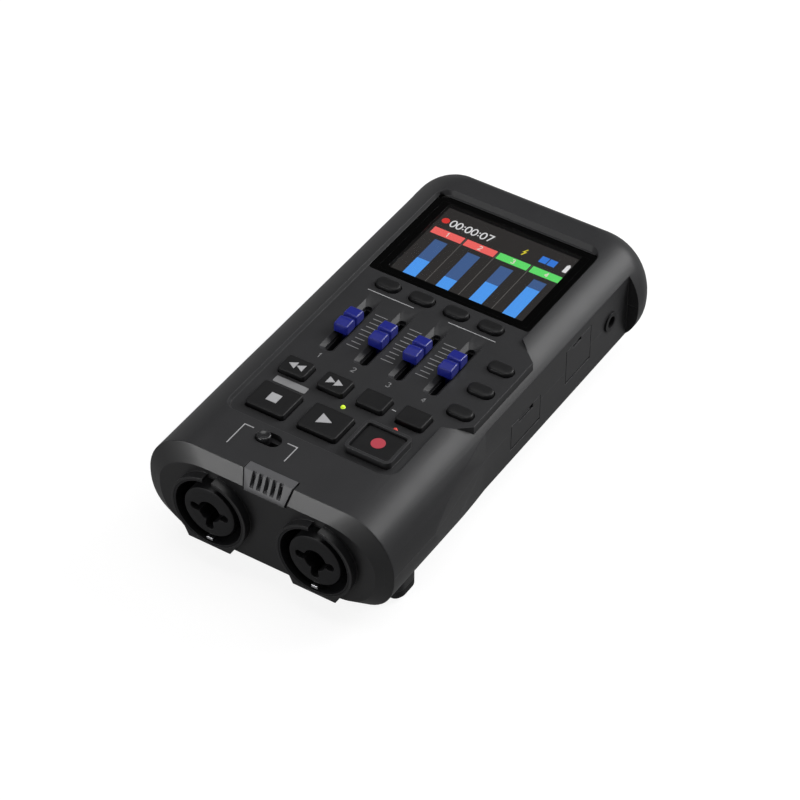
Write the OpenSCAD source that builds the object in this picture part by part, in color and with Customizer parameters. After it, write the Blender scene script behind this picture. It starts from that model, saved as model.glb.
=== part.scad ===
// Handheld digital multitrack recorder: four faders, a colour display,
// transport keys and two combination input jacks in the front end.
// Millimetres. X is the width, Y runs from the jacks to the display end,
// Z is up and zero is the surface that the feet stand on.

/* [Case] */
// Overall width across the sides
case_w = 75; // [71:0.2:82]
// Overall length from the jack collars to the tail
case_l = 141; // [134:0.5:160]
// Height of the shell from its belly to its crown
case_h = 29.6; // [28.6:0.1:32]
// Height of the belly above the table
stand_h = 7.7; // [7:0.1:9]
// Shell wall
wall = 2; // [1.6:0.1:2.4]
// How far the shoulders round over, across the width
shoulder_w = 15; // [12:0.5:16]
// How far the shoulders round over, in height
shoulder_h = 15.6; // [12:0.2:16.5]
// How far the belly rounds under, across the width
belly_w = 13.5; // [10:0.5:14.5]
// Squareness of the shoulders
shoulder_square = 2; // [2:0.1:3]
// Squareness of the belly edges
belly_square = 2.4; // [2:0.05:3.2]
// Plan radius of the two tail corners
tail_r = 10.3; // [8:0.1:12]
// How far the crown rounds over at the tail
tail_reach = 6.2; // [3:0.1:8]
// How far the belly rounds under at the tail
tail_under = 1; // [0:0.1:3]
// Height of the seam above the belly
seam_up = 13.9; // [12.5:0.1:15]
// Gap between a moving piece and its opening
slip = 0.25; // [0.15:0.05:0.35]
// Gap that a fixed piece is laid in with
seat = 0.05; // [0.02:0.01:0.1]

/* [Front end] */
// How far the jack collars stand off the front face
collar_out = 2.5; // [1.5:0.1:3]
// Length of the slope above the jacks
slope_l = 2; // [1.6:0.1:2.6]
// Drop of the slope above the jacks
slope_drop = 4.6; // [4:0.1:5]
// How far the front face is drawn in from the sides
face_inset = 4.4; // [3.6:0.1:5]
// How far the front face is drawn in from the belly
face_lift = 0.5; // [0.3:0.1:1]
// Spacing of the two jacks
jack_pitch = 32.4; // [29:0.2:34]
// Height of the jack axes above the belly
jack_up = 12.4; // [12:0.1:13.4]
// Bore radius of the front panel at each jack
jack_bore_r = 10.85; // [10.5:0.05:11.2]
// Outer radius of a collar
collar_r = 11.5; // [11.4:0.05:12]
// Wall of a jack tube
jack_tube_t = 0.6; // [0.5:0.05:0.8]
// Radius of a jack core
core_r = 7.8; // [7.5:0.05:8]
// Radius of the plug bore in a jack core
plug_r = 3.25; // [3.2:0.01:3.4]
// Radius of the body behind a jack
jack_body_r = 11.3; // [11.25:0.05:11.6]
// Length of a jack from the collar front
jack_l = 30.5; // [28:0.5:31]
// Depth of the ring groove round a jack core
groove_l = 14; // [12:0.5:15]
// Radius of the tail behind a jack
jack_tail_r = 5.6; // [5:0.1:5.8]
// Radius of a contact hole in a jack core
pin_r = 1.2; // [1:0.05:1.25]
// Radius of the circle that the contact holes lie on
pin_circle_r = 4.75; // [4.7:0.05:5.4]
// Half width of the microphone grille at the crown
grille_half_top = 7.5; // [6:0.1:8.5]
// Half width of the microphone grille at its foot
grille_half_foot = 6.05; // [5:0.05:7]
// Radius of a microphone capsule
mic_r = 1.9; // [1.6:0.1:2]
// Length of a microphone capsule
mic_l = 2.4; // [2:0.1:2.6]
// How far the grille stands proud of the slope
grille_proud = 0.35; // [0.2:0.05:0.5]
// Width of a grille slot
grille_slot_w = 1.15; // [0.9:0.05:1.3]
// Spacing of the grille slots
grille_pitch = 2.05; // [1.9:0.05:2.2]
// Spacing of the two capsules
mic_pitch = 6.6; // [6.2:0.1:7]

/* [Panel] */
// Depth of the panel below the crown
panel_drop = 1.5; // [1:0.1:2]
// Panel thickness
panel_t = 2; // [1.6:0.1:2.4]
// Width of the panel floor
panel_w = 50.8; // [49.8:0.2:52]
// Start of the panel recess, in percent of the length from the front
panel_from = 14.82; // [14.4:0.01:15.4]
// End of the panel recess, in percent of the length from the front
panel_to = 91.06; // [90.6:0.01:92.4]
// Run of the recess walls
panel_slope = 0.9; // [0.5:0.1:1.2]
// Width of the right ear
ear_w = 7.2; // [6.8:0.1:7.6]
// How far the edge of the ear stays in from the widest point
ear_margin = 4.9; // [4.3:0.1:5.5]
// Start of the ear, in percent of the length from the front
ear_from = 31.56; // [30.8:0.01:32]
// End of the ear, in percent of the length from the front
ear_to = 60.35; // [59.9:0.01:61]
// Length of the slanted ends of the ear
ear_slant = 5.5; // [4:0.5:6]
// Wall of the ear
ear_t = 1.1; // [0.9:0.1:1.2]

/* [Display] */
// Width of the display window
window_w = 50.6; // [48:0.2:50.6]
// Length of the display window
window_l = 37.4; // [36:0.2:38]
// Thickness of the display window
window_t = 1; // [0.8:0.1:1.2]
// Start of the display window, in percent of the length from the front
window_from = 63.33; // [63:0.01:64]
// Width of the display module
lcd_w = 46.8; // [44:0.2:47.4]
// Length of the display module
lcd_l = 34; // [33:0.2:34.6]
// Thickness of the display module
lcd_t = 3; // [2.4:0.1:4]
// Depth of the picture below the window
lcd_gap = 1.4; // [0.8:0.1:1.7]
// Width of the picture
picture_w = 42.4; // [40:0.2:43]
// Length of the picture
picture_l = 31.8; // [30:0.2:32.2]

/* [Faders and keys] */
// Spacing of the four channels
channel_pitch = 10.77; // [10:0.01:11.2]
// Middle of the fader slots, in percent of the length from the front
fader_at = 46.74; // [46:0.01:47.6]
// Travel of a fader to each side of the middle
fader_half_travel = 7; // [6:0.1:7.4]
// Width of a fader slot
slot_w = 2.3; // [2.1:0.1:2.6]
// Width of a fader stem
stem_w = 1.3; // [1:0.1:1.5]
// Length of a fader stem
stem_l = 5; // [4:0.1:5.4]
// Width of a fader cap
cap_w = 4.3; // [4:0.1:5]
// Length of a fader cap
cap_l = 8.4; // [7.5:0.1:9]
// Height of a fader cap above the panel
cap_up = 3.4; // [2.8:0.1:4]
// Width of a fader body
fader_body_w = 7; // [6.4:0.1:8]
// Length of a fader body
fader_body_l = 28; // [26:0.5:30]
// Width of a small rounded key
pill_w = 7.3; // [6.6:0.1:7.6]
// Length of a small rounded key
pill_l = 4.1; // [3.6:0.1:4.4]
// Height of a small rounded key above the panel
pill_up = 1.2; // [0.9:0.1:1.5]
// Row of the channel keys, in percent of the length from the front
channel_key_at = 60.43; // [60.2:0.01:61]
// Middle of the right hand key column, in from the edge of the ear
column_x = 5.6; // [5.4:0.05:5.8]
// First key of the right hand column, in percent of the length from the front
column_at = 37.16; // [36.8:0.01:37.6]
// Spacing of the right hand column
column_pitch = 10.05; // [9.6:0.05:10.4]
// Width of a small transport key
small_key_w = 8.1; // [7.4:0.1:8.6]
// Length of a small transport key
small_key_l = 6.2; // [5.6:0.1:6.8]
// Spacing of the small transport keys
small_key_pitch = 12.08; // [11.6:0.01:12.6]
// Row of the small transport keys, in percent of the length from the front
small_key_at = 30.92; // [30.4:0.01:31.4]
// Width of a large transport key
large_key_w = 11.9; // [11:0.1:12.4]
// Length of a large transport key
large_key_l = 9.8; // [9:0.1:10.4]
// Spacing of the large transport keys
large_key_pitch = 16; // [15.6:0.1:16.2]
// Row of the large transport keys, in percent of the length from the front
large_key_at = 21.35; // [20.9:0.01:21.8]
// Height of the transport keys above the panel
key_up = 1.6; // [1.2:0.1:2]
// Height of the guard round the record key
guard_up = 2.2; // [2:0.1:2.6]
// Wall of the guard round the record key
guard_t = 0.9; // [0.7:0.05:1]
// Key travel
key_travel = 0.7; // [0.5:0.05:0.8]
// Row of the two lamps, in percent of the length from the front
lamp_at = 27.09; // [26.9:0.01:27.4]
// Radius of a lamp
lamp_r = 0.7; // [0.5:0.05:0.9]

/* [Input switch] */
// Middle of the input switch, across
toggle_x = -8.25; // [-9:0.05:-7.5]
// Middle of the input switch, in percent of the length from the front
toggle_at = 11.7; // [11.3:0.01:12.1]
// Radius of the switch knob
toggle_r = 1.9; // [1.5:0.1:2.1]
// Travel of the switch to each side
toggle_half_travel = 1.4; // [1:0.1:1.6]
// Depth of the switch pocket
toggle_pocket = 2; // [1.6:0.1:2.2]

/* [Sides] */
// Depth of the side bays below the widest point
bay_drop = 3.5; // [3.1:0.1:3.7]
// Start of the side bays, in percent of the length from the front
bay_from = 17.02; // [15.6:0.01:19.9]
// Length over which a side bay deepens
bay_ramp = 30; // [20:1:32]
// End of the side bays, in percent of the length from the front
bay_to = 91.13; // [89.3:0.01:93]
// Thickness behind a bay floor
bay_back = 3; // [2.6:0.1:3.4]
// Thickness of the two hatches
hatch_t = 1.2; // [1:0.1:1.4]
// Length of the data hatch
data_hatch_l = 12.8; // [12:0.1:13.5]
// Height of the data hatch
data_hatch_h = 11.3; // [10.5:0.1:11.8]
// Middle of the data hatch, in percent of the length from the front
data_hatch_at = 72.06; // [71.6:0.01:72.8]
// Length of the card hatch
card_hatch_l = 14.6; // [14:0.1:15.4]
// Height of the card hatch
card_hatch_h = 8.2; // [7.6:0.1:8.4]
// Middle of the card hatch, in percent of the length from the front
card_hatch_at = 52.7; // [52.1:0.01:53.2]
// Radius of a hatch pin
hatch_pin_r = 0.45; // [0.4:0.01:0.5]
// Running gap of a pin in its hole
pin_gap = 0.05; // [0.03:0.01:0.08]
// Bore radius of the small round sockets
mini_r = 1.8; // [1.75:0.01:1.9]
// Middle of the line socket, in percent of the length from the front
line_at = 84.26; // [83.6:0.01:84.8]
// Middle of the phones socket, in percent of the length from the front
phones_at = 70.92; // [70.2:0.01:71.7]
// Middle of the power switch, in percent of the length from the front
power_at = 81.56; // [80.8:0.01:82.3]
// Travel of the power switch to each side
power_half_travel = 1.5; // [1:0.1:1.8]
// Radius of the volume wheel
volume_r = 7; // [6.4:0.1:7.4]
// Middle of the volume wheel, in percent of the length from the front
volume_at = 59.57; // [58.8:0.01:60.3]
// Radius of the select dial
dial_r = 8; // [7.4:0.1:8.4]
// Middle of the select dial, in percent of the length from the front
dial_at = 43.97; // [43.2:0.01:44.7]
// Radius of a wheel shaft
shaft_r = 1.2; // [1:0.05:1.4]

/* [Boards and power] */
// Board thickness
board_t = 1.6; // [1.2:0.1:2]
// Depth of the main board's face below the panel
board_drop = 8; // [7.6:0.1:8.6]
// Radius of a cell
cell_r = 7.1; // [6.9:0.05:7.2]
// Length of a cell with its nub
cell_l = 50.5; // [49.5:0.1:51]
// Start of the cells, in percent of the length from the front
cell_from = 43.62; // [42.5:0.01:44.4]
// Wall round the cell bay
bay_wall = 1.6; // [1.2:0.1:2]
// Radius of the cover's hinge pins
cover_pin_r = 0.6; // [0.5:0.05:0.7]
// Radius of a case screw
screw_r = 1.2; // [1:0.05:1.4]
// Radius of a case screw's head
screw_head_r = 2.3; // [2:0.1:2.6]
// Middle of the tripod bush, in percent of the length from the front
bush_at = 32.62; // [31.9:0.01:33.4]
// Radius of the tripod bush
bush_r = 5; // [4.6:0.1:5.6]
// Height of the tripod bush
bush_h = 8; // [7:0.5:9]
// Radius of the tripod bush's thread
thread_r = 2.65; // [2.5:0.05:2.75]

/* [Feet] */
// Height of a front foot
foot_h = 3.6; // [2.6:0.1:4.4]
// Length of a front foot
foot_l = 9.6; // [8:0.1:12]
// Outer edge of a front foot, from the middle
front_foot_out = 32; // [30:0.1:32.6]
// Inner edge of a front foot, from the middle
front_foot_in = 22.5; // [20:0.5:24]
// Middle of the front feet, from the front
front_foot_at = 20.2; // [18:0.1:21]
// Corner radius of a front foot
foot_r = 3; // [2:0.1:4]
// Height of a rear pad
pad_h = 1.2; // [1:0.1:1.6]
// Length of a rear pad
pad_l = 6; // [5:0.1:6.4]
// Width of a rear pad
pad_w = 12; // [10:0.5:13]

/* [Hidden] */

$fn = 48;
thin = 0.01;
over = 1;
smooth_steps = 16;
inner_steps = 6;
tail_steps = 14;
inner_tail_steps = 4;
top_tail_r = 5;
least_tail_r = 2;

belly_z = stand_h;
crown_z = stand_h + case_h;
panel_z = crown_z - panel_drop;
under_z = panel_z - panel_t;
seam_z = belly_z + seam_up;
waist_z = crown_z - shoulder_h;
belly_h = case_h - shoulder_h;
front_y = -case_l / 2;
tail_y = case_l / 2;
face_y = front_y + collar_out;
slope_y = face_y + slope_l;
nose_y = slope_y;
jack_z = belly_z + jack_up;
jack_x = jack_pitch / 2;
board_z = panel_z - board_drop;
board_low = board_z - board_t;
bay_x = case_w / 2 - bay_drop;
bay_in = bay_x - bay_back;
key_stem = 0.6;
key_stem_r = 1.2;
key_flange_t = 0.8;
key_flange = 0.4;
flange_top = under_z - seat;
stem_low = flange_top - key_flange_t - key_stem;
switch_top = stem_low - key_travel - seat;

c_shell = [0.36, 0.36, 0.37];
c_front = [0.16, 0.16, 0.17];
c_key = [0.13, 0.13, 0.14];
c_cap = [0.16, 0.2, 0.58];
c_board = [0.1, 0.32, 0.2];
c_metal = [0.72, 0.72, 0.74];
c_rubber = [0.08, 0.08, 0.08];

// Percent of the length from the front as a Y coordinate
function at(p) = front_y + case_l * p / 100;
// X of a channel, 0 to 3
function channel_x(i) = (i - 1.5) * channel_pitch;
// Inset of a rounded edge at height share t
function inset(t, reach, p) = reach * (1 - pow(max(0, 1 - pow(t, p)), 1 / p));
// Points of an arc
function arc(cx, cy, r, a0, a1, n) =
    [for (i = [0:n]) [cx + r * cos(a0 + (a1 - a0) * i / n), cy + r * sin(a0 + (a1 - a0) * i / n)]];
// Rectangle with four round corners
function round_rect(x0, x1, y0, y1, r, n = 8) = concat(
    arc(x1 - r, y0 + r, r, -90, 0, n), arc(x1 - r, y1 - r, r, 0, 90, n),
    arc(x0 + r, y1 - r, r, 90, 180, n), arc(x0 + r, y0 + r, r, 180, 270, n));
// Shell outline at one height: square at the front, round at the tail
function plan(xl, xr, y0, y1, r, n) = concat(
    [[xl, y0], [xr, y0]],
    arc(xr - r, y1 - r, r, 0, 90, n), arc(xl + r, y1 - r, r, 90, 180, n));
// Height shares from the waist to the crown or the belly
function shares(n) = [for (i = [0:n]) sin(90 * i / n)];
// Cross section of the shell drawn in at its sides, its crown and its belly, as points in X and Z
function section(side, drop, lift, n) = let(hw = case_w / 2 - side, up = shares(n)) concat(
    [for (i = [0:n]) [hw - inset(up[i], shoulder_w, shoulder_square),
    waist_z + (shoulder_h - drop) * up[i]]],
    [for (i = [n:-1:0]) [-hw + inset(up[i], shoulder_w, shoulder_square),
    waist_z + (shoulder_h - drop) * up[i]]],
    [for (i = [1:n]) [-hw + inset(up[i], belly_w, belly_square), waist_z - (belly_h - lift) * up[i]]],
    [for (i = [n:-1:1]) [hw - inset(up[i], belly_w, belly_square), waist_z - (belly_h - lift) * up[i]]]);

// One ring of the shell at height share t, above the waist when up is true
function shell_ring(t, up, s, y0, n) =
    let(hw = case_w / 2 - s,
        reach = up ? shoulder_w : belly_w,
        z = up ? waist_z + (shoulder_h - s) * t : waist_z - (belly_h - s) * t,
        r = max(least_tail_r, tail_r - s + (up ? (top_tail_r - tail_r) * t * t : 0)))
    [for (p = plan(-hw + inset(t, reach, up ? shoulder_square : belly_square),
        hw - inset(t, reach, up ? shoulder_square : belly_square),
        y0, tail_y - s - inset(t, up ? tail_reach : tail_under, 2), r, n)) [p[0], p[1], z]];

// Flat ring of points at height z
function ring_at(points, z) = [for (p = points) [p[0], p[1], z]];
// Upright ring of points in X and Z, at y
function ring_y(points, y) = [for (p = points) [p[0], y, p[1]]];

// Solid through rings of equal point counts, each ring turning left about the way it goes
module loft(rings) {
    n = len(rings[0]);
    m = len(rings);
    polyhedron(points = [for (ring = rings) for (p = ring) p], faces = concat(
        [[for (j = [0:n - 1]) j]],
        [[for (j = [n - 1:-1:0]) (m - 1) * n + j]],
        [for (i = [0:m - 2]) for (j = [0:n - 1])
            [i * n + j, (i + 1) * n + j, (i + 1) * n + (j + 1) % n, i * n + (j + 1) % n]]));
}

// The shell as a solid, drawn in by s and starting at y0
module shell(s, y0, n, corner_n) {
    t = shares(n);
    loft(concat(
        [for (i = [n:-1:1]) shell_ring(t[i], false, s, y0, corner_n)],
        [for (i = [0:n]) shell_ring(t[i], true, s, y0, corner_n)]));
}

// Everything above, or below, the seam
module above_seam() {
    translate([-case_w, front_y - over, seam_z]) cube([2 * case_w, case_l + 2 * over, crown_z]);
}
module below_seam() {
    translate([-case_w, front_y - over, seam_z - crown_z]) cube([2 * case_w, case_l + 2 * over, crown_z]);
}

// Flat prism from points
module prism(points, z0, z1) {
    translate([0, 0, z0]) linear_extrude(z1 - z0) polygon(points);
}
// Block between two corners
module block(x0, x1, y0, y1, z0, z1) {
    translate([x0, y0, z0]) cube([x1 - x0, y1 - y0, z1 - z0]);
}
// Round bar along Y
module bar_y(x, y0, y1, z, r) {
    translate([x, y1, z]) rotate([90, 0, 0]) cylinder(r = r, h = y1 - y0);
}
// Round bar along X
module bar_x(x0, x1, y, z, r) {
    translate([x0, y, z]) rotate([0, 90, 0]) cylinder(r = r, h = x1 - x0);
}
// Prism along Y from points in X and Z
module prism_y(points, y0, y1) {
    translate([0, y1, 0]) rotate([90, 0, 0]) linear_extrude(y1 - y0) polygon(points);
}

// Outline of the ear that carries the right hand key column, drawn in by s
function ear(s) = let(x0 = ear_edge - ear_w - ear_lap, xm = ear_edge - ear_w + ear_step - s,
        x1 = ear_edge - s, a = at(ear_from) + s, b = at(ear_to) - s)
    [[x0, a - ear_lead], [xm, a], [x1, a + ear_slant], [x1, b - ear_slant], [xm, b], [x0, b + ear_lead]];
ear_edge = case_w / 2 - ear_margin;
ear_lap = 2;
ear_step = 0.8;
ear_lead = 1.7;
// Room under the ear for the key flanges over their travel
ear_room = 2.4;

/* key tables: middle across, and middle along the length */
small_key_shift = 0.3;
large_key_shift = 0.2;
record_key_w = large_key_w - 0.3;
key_small_x = [for (i = [0:3]) small_key_shift + (i - 1.5) * small_key_pitch];
key_large_x = [for (i = [0:2]) large_key_shift + (i - 1) * large_key_pitch];
key_column_x = ear_edge - column_x;
column_y = [for (i = [2:-1:0]) at(column_at) + i * column_pitch];
pill_r = 1.9;
key_r = 0.8;
guard_r = 1.7;
guard_w = record_key_w + 2 * slip + 2 * guard_t;
guard_l = large_key_l + 2 * slip + 2 * guard_t;

// Opening for a key with rounded corners
module key_hole(x, y, w, l, r) {
    prism(round_rect(x - w / 2 - slip, x + w / 2 + slip, y - l / 2 - slip, y + l / 2 + slip, r + slip),
        under_z - over, crown_z + over);
}

module fader_cut(i) {
    x = channel_x(i);
    half = fader_half_travel + stem_l / 2 + slot_end;
    slot = round_rect(x - slot_w / 2, x + slot_w / 2, at(fader_at) - half, at(fader_at) + half,
        slot_w / 2 - thin, 4);
    wide = round_rect(x - slot_w / 2 - slot_flare, x + slot_w / 2 + slot_flare,
        at(fader_at) - half - slot_flare,
        at(fader_at) + half + 2 * slot_flare, slot_flare, 4);
    prism(slot, under_z - over, panel_z);
    loft([ring_at(slot, panel_z - slot_flare), ring_at(wide, panel_z), ring_at(wide, panel_z + over)]);
}
slot_flare = 1.05;
slot_end = 1;

module upper_case() {
    hw = panel_w / 2;
    y0 = at(panel_from);
    y1 = at(panel_to);
    color(c_shell) difference() {
        union() {
            difference() {
                intersection() {
                    shell(0, nose_y, smooth_steps, tail_steps);
                    above_seam();
                }
                intersection() {
                    shell(wall, nose_y - over, inner_steps, inner_tail_steps);
                    translate([-case_w, front_y - over, 0]) cube([2 * case_w, case_l + 2 * over,
                        under_z]);
                }
                loft([
                    ring_at(round_rect(-hw, hw, y0 + panel_slope, y1 - panel_slope, panel_r), panel_z),
                    ring_at(round_rect(-hw - panel_slope, hw + panel_slope, y0, y1,
                    panel_r + panel_slope), crown_z),
                    ring_at(round_rect(-hw - panel_slope, hw + panel_slope, y0, y1,
                    panel_r + panel_slope),
                        crown_z + over)]);
                prism(ear(0), panel_z, crown_z + over);
            }
            difference() {
                prism(ear(0), panel_z - ear_deep, panel_z);
                prism(ear(ear_t), panel_z - ear_deep - over, under_z);
                block(-case_w, hw, front_y, tail_y, panel_z - ear_deep - over, under_z);
            }
            side_backing(-1);
            side_backing(1);
            record_guard();
            for (s = [-1, 1]) {
                screw_boss(s * screw_front_x, screw_front_y);
                screw_boss(s * screw_rear_x, screw_rear_y);
            }
        }
        for (s = [-1, 1]) side_bay(s);
        hatch_cuts();
        left_cuts();
        for (s = [-1, 1]) {
            screw_bore(s * screw_front_x, screw_front_y);
            screw_bore(s * screw_rear_x, screw_rear_y);
        }
        window_cut();
        for (i = [0:3]) {
            fader_cut(i);
            key_hole(channel_x(i), at(channel_key_at), pill_w, pill_l, pill_r);
            key_hole(key_small_x[i], at(small_key_at), small_key_w, small_key_l, key_r);
        }
        for (i = [0:2]) key_hole(key_column_x, column_y[i], pill_w, pill_l, pill_r);
        for (i = [0:1]) key_hole(key_large_x[i], at(large_key_at), large_key_w, large_key_l, key_r);
        key_hole(key_large_x[2], at(large_key_at), record_key_w, large_key_l, key_r);
        prism(ear(ear_t), under_z - ear_room, under_z);
        for (x = [key_large_x[1], key_large_x[2]])
            translate([x, at(lamp_at), under_z - over]) cylinder(r = lamp_r + seat,
                h = panel_t + 2 * over);
        toggle_cut();
        grille_cut();
    }
}

panel_r = 3.6;
ear_deep = 6.5;

module record_guard() {
    x = key_large_x[2];
    y = at(large_key_at);
    prism(round_rect(x - guard_w / 2, x + guard_w / 2, y - guard_l / 2, y + guard_l / 2, guard_r),
        under_z,
        panel_z + guard_up);
}

window_y = at(window_from) + window_l / 2;
window_r = 1;
module window_cut() {
    w = window_w / 2 + seat;
    prism(round_rect(-w, w, window_y - window_l / 2 - seat, window_y + window_l / 2 + seat, window_r),
        panel_z - window_t, crown_z + over);
    m = lcd_w / 2 + seat;
    c = window_y;
    block(-m, m, c - lcd_l / 2 - seat, c + lcd_l / 2 + seat, under_z - over, panel_z);
}

module toggle_cut() {
    half = toggle_half_travel + toggle_r + toggle_room;
    r = toggle_r + toggle_room;
    stem = toggle_stem + slip;
    prism(round_rect(toggle_x - half, toggle_x + half, at(toggle_at) - r, at(toggle_at) + r, r - thin),
        crown_z - toggle_pocket, crown_z + over);
    block(toggle_x - toggle_half_travel - stem, toggle_x + toggle_half_travel + stem,
        at(toggle_at) - stem,
        at(toggle_at) + stem, under_z - over, crown_z);
}
toggle_room = 0.5;
toggle_stem = 0.8;

/* screws that hold the two halves, one pair behind the jacks and one at the tail */
screw_front_in = 8.3;
screw_front_gap = 5.2;
screw_rear_in = 11.5;
screw_rear_gap = 9.8;
screw_wall = 1.4;
screw_bite = 5;
screw_front_x = case_w / 2 - screw_front_in;
screw_front_y = front_y + jack_l + screw_front_gap;
screw_rear_x = case_w / 2 - screw_rear_in;
screw_rear_y = tail_y - screw_rear_gap;
boss_r = screw_r + screw_wall;
screw_top_z = seam_z + screw_bite;

module screw_boss(x, y) {
    intersection() {
        translate([x, y, seam_z]) cylinder(r = boss_r, h = under_z - seam_z + panel_t / 4);
        shell(wall / 2, nose_y, inner_steps, inner_tail_steps);
    }
}
module screw_bore(x, y) {
    translate([x, y, seam_z - over]) cylinder(r = screw_r, h = screw_top_z - seam_z + over);
}

// Thick wall behind a side bay, s is the side
module side_backing(s) {
    intersection() {
        shell(wall / 2, nose_y, inner_steps, inner_tail_steps);
        above_seam();
        block(min(s * bay_in, s * case_w), max(s * bay_in, s * case_w), at(bay_from),
            at(bay_to) + bay_end,
            belly_z, crown_z);
    }
}
module side_backing_low(s) {
    intersection() {
        shell(wall / 2, nose_y, inner_steps, inner_tail_steps);
        below_seam();
        block(min(s * bay_in, s * case_w), max(s * bay_in, s * case_w), at(bay_from),
            at(bay_to) + bay_end,
            belly_z, crown_z);
    }
}
// Flat cut into one side that deepens from the front
module side_bay(s) {
    far = case_w / 2 + over;
    mirror([s > 0 ? 0 : 1, 0, 0]) prism([[case_w / 2, at(bay_from)], [far, at(bay_from)],
        [far, at(bay_to)], [bay_x, at(bay_to)], [bay_x, at(bay_from) + bay_ramp]], belly_z - over,
        panel_z - bay_top);
}
bay_top = 4;
bay_end = 2;

/* hatches on the right side */
data_hatch_drop = 7.2;
card_hatch_drop = 12.4;
hatch_top = panel_z - data_hatch_drop;
data_low = hatch_top - data_hatch_h;
card_top = panel_z - card_hatch_drop;
card_low = card_top - card_hatch_h;
hinge_x = bay_x - hatch_t / 2;
hatch_pin_l = 0.8;
hatch_pin_room = 0.2;
notch_t = 0.6;
socket_out = 1.2;
socket_gap = 0.6;
data_half = 4.5;
data_half_h = 1.65;
data_l = 9;
data_depth = 6;
data_skin = 0.3;
card_half = 6.2;
card_half_h = 1.1;
card_l = 13.5;
card_depth = 11;
card_skin = 0.6;
card_slit_h = 0.9;
socket_leg_in = 1;
card_socket_up = 4;
mini_collar_r = 3;
mini_drop = 13.5;
mini_half = 3.3;
mini_out = 0.5;
mini_root = 12;
mini_end = 1;
data_z = hatch_top - data_hatch_h / 2;
card_z = card_low + card_socket_up;
mini_z = panel_z - mini_drop;

module hatch_pocket(y, l, z0, h) {
    half = l / 2 + slip;
    pin = half + hatch_pin_l + hatch_pin_room;
    block(bay_x - hatch_t - slip, bay_x + bay_drop, y - half, y + half, z0 - slip, z0 + h + slip);
    bar_y(hinge_x, y - pin, y + pin, z0 + hatch_t / 2, hatch_pin_r + pin_gap);
}
// Window behind a hatch for its socket
module socket_window(y, z, half, half_h) {
    block(bay_in - over, bay_x, y - half - socket_gap, y + half + socket_gap, z - half_h - socket_gap,
        z + half_h + socket_gap);
}
module hatch_cuts() {
    hatch_pocket(at(data_hatch_at), data_hatch_l, data_low, data_hatch_h);
    hatch_pocket(at(card_hatch_at), card_hatch_l, card_low, card_hatch_h);
    socket_window(at(data_hatch_at), data_z, data_half, data_half_h);
    socket_window(at(card_hatch_at), card_z, card_half, card_half_h);
    bar_x(bay_in - over, bay_x + bay_drop, at(line_at), mini_z, mini_collar_r);
}

module hatch(y, l, z0, h) {
    y0 = y - l / 2;
    r = hatch_t / 2;
    difference() {
        union() {
            block(bay_x - hatch_t, bay_x, y0, y0 + l, z0 + r, z0 + h);
            bar_y(hinge_x, y0 - slip - hatch_pin_l, y0 + l + slip + hatch_pin_l, z0 + r, hatch_pin_r);
            bar_y(hinge_x, y0, y0 + l, z0 + r, r);
        }
        children();
    }
}
module data_hatch() {
    y = at(data_hatch_at);
    color(c_shell) hatch(y, data_hatch_l, data_low, data_hatch_h)
        block(bay_x - notch_t, bay_x + over, y - data_hatch_l / 4, y + data_hatch_l / 10,
            hatch_top - 1.5 * notch_t,
            hatch_top + over);
}
module card_hatch() {
    y = at(card_hatch_at);
    color(c_shell) hatch(y, card_hatch_l, card_low, card_hatch_h)
        block(bay_x - notch_t, bay_x + over, y - card_hatch_l / 4, y + card_hatch_l / 4,
            card_top - 2.2 * notch_t,
            card_top + over);
}
module data_socket() {
    x1 = bay_in + socket_out;
    y = at(data_hatch_at);
    w = data_half - data_skin;
    h = data_half_h - data_skin;
    color(c_metal) difference() {
        union() {
            prism_x(round_rect(y - data_half, y + data_half, data_z - data_half_h, data_z + data_half_h,
                data_half_h - thin), x1 - data_l, x1);
            block(x1 - data_l, bay_in - socket_leg_in, y - w, y + w, data_z, board_low);
        }
        prism_x(round_rect(y - w, y + w, data_z - h, data_z + h, h - thin), x1 - data_depth, x1 + over);
    }
}
module card_socket() {
    x1 = bay_in + socket_out;
    y = at(card_hatch_at);
    w = card_half - card_skin;
    color(c_metal) difference() {
        union() {
            block(x1 - card_l, x1, y - card_half, y + card_half, card_z - card_half_h,
                card_z + card_half_h);
            block(x1 - card_l, bay_in - socket_leg_in, y - w, y + w, card_z, board_low);
        }
        block(x1 - card_depth, x1 + over, y - w, y + w, card_z - card_slit_h / 2,
            card_z + card_slit_h / 2);
    }
}
// Prism along X from points in Y and Z
module prism_x(points, x0, x1) {
    translate([x0, 0, 0]) rotate([90, 0, 90]) linear_extrude(x1 - x0) polygon(points);
}

// Small round socket in the right side
module mini_socket(y) {
    tip = bay_x + mini_out;
    root = bay_in - mini_root;
    difference() {
        union() {
            bar_x(bay_in - mini_end / 2, tip, y, mini_z, mini_collar_r - seat);
            block(root, bay_in - seat, y - mini_half, y + mini_half, mini_z - mini_half, board_low);
        }
        bar_x(root + mini_end, tip + over, y, mini_z, mini_r);
    }
}
module line_socket() {
    color(c_front) mini_socket(at(line_at));
}
module phones_socket() {
    color(c_front) mirror([1, 0, 0]) mini_socket(at(phones_at));
}

/* left side: power switch, phones socket, volume wheel and select dial */
side_in = 2.1;
wheel_drop = 13;
wheel_out = case_w / 2 - side_in;
wheel_z = panel_z - wheel_drop;
volume_h = 2.6;
dial_h = 4.4;
power_w = 7;
power_tall = 3.2;
power_plate_t = 0.8;
power_plate_l = 2.6;
power_base_t = 4;
power_base_l = 16;
rib_depth = 0.45;
volume_ribs = 24;
dial_ribs = 18;
wheel_base_w = 8;
shaft_end = 0.6;
shaft_head = 0.8;

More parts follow.
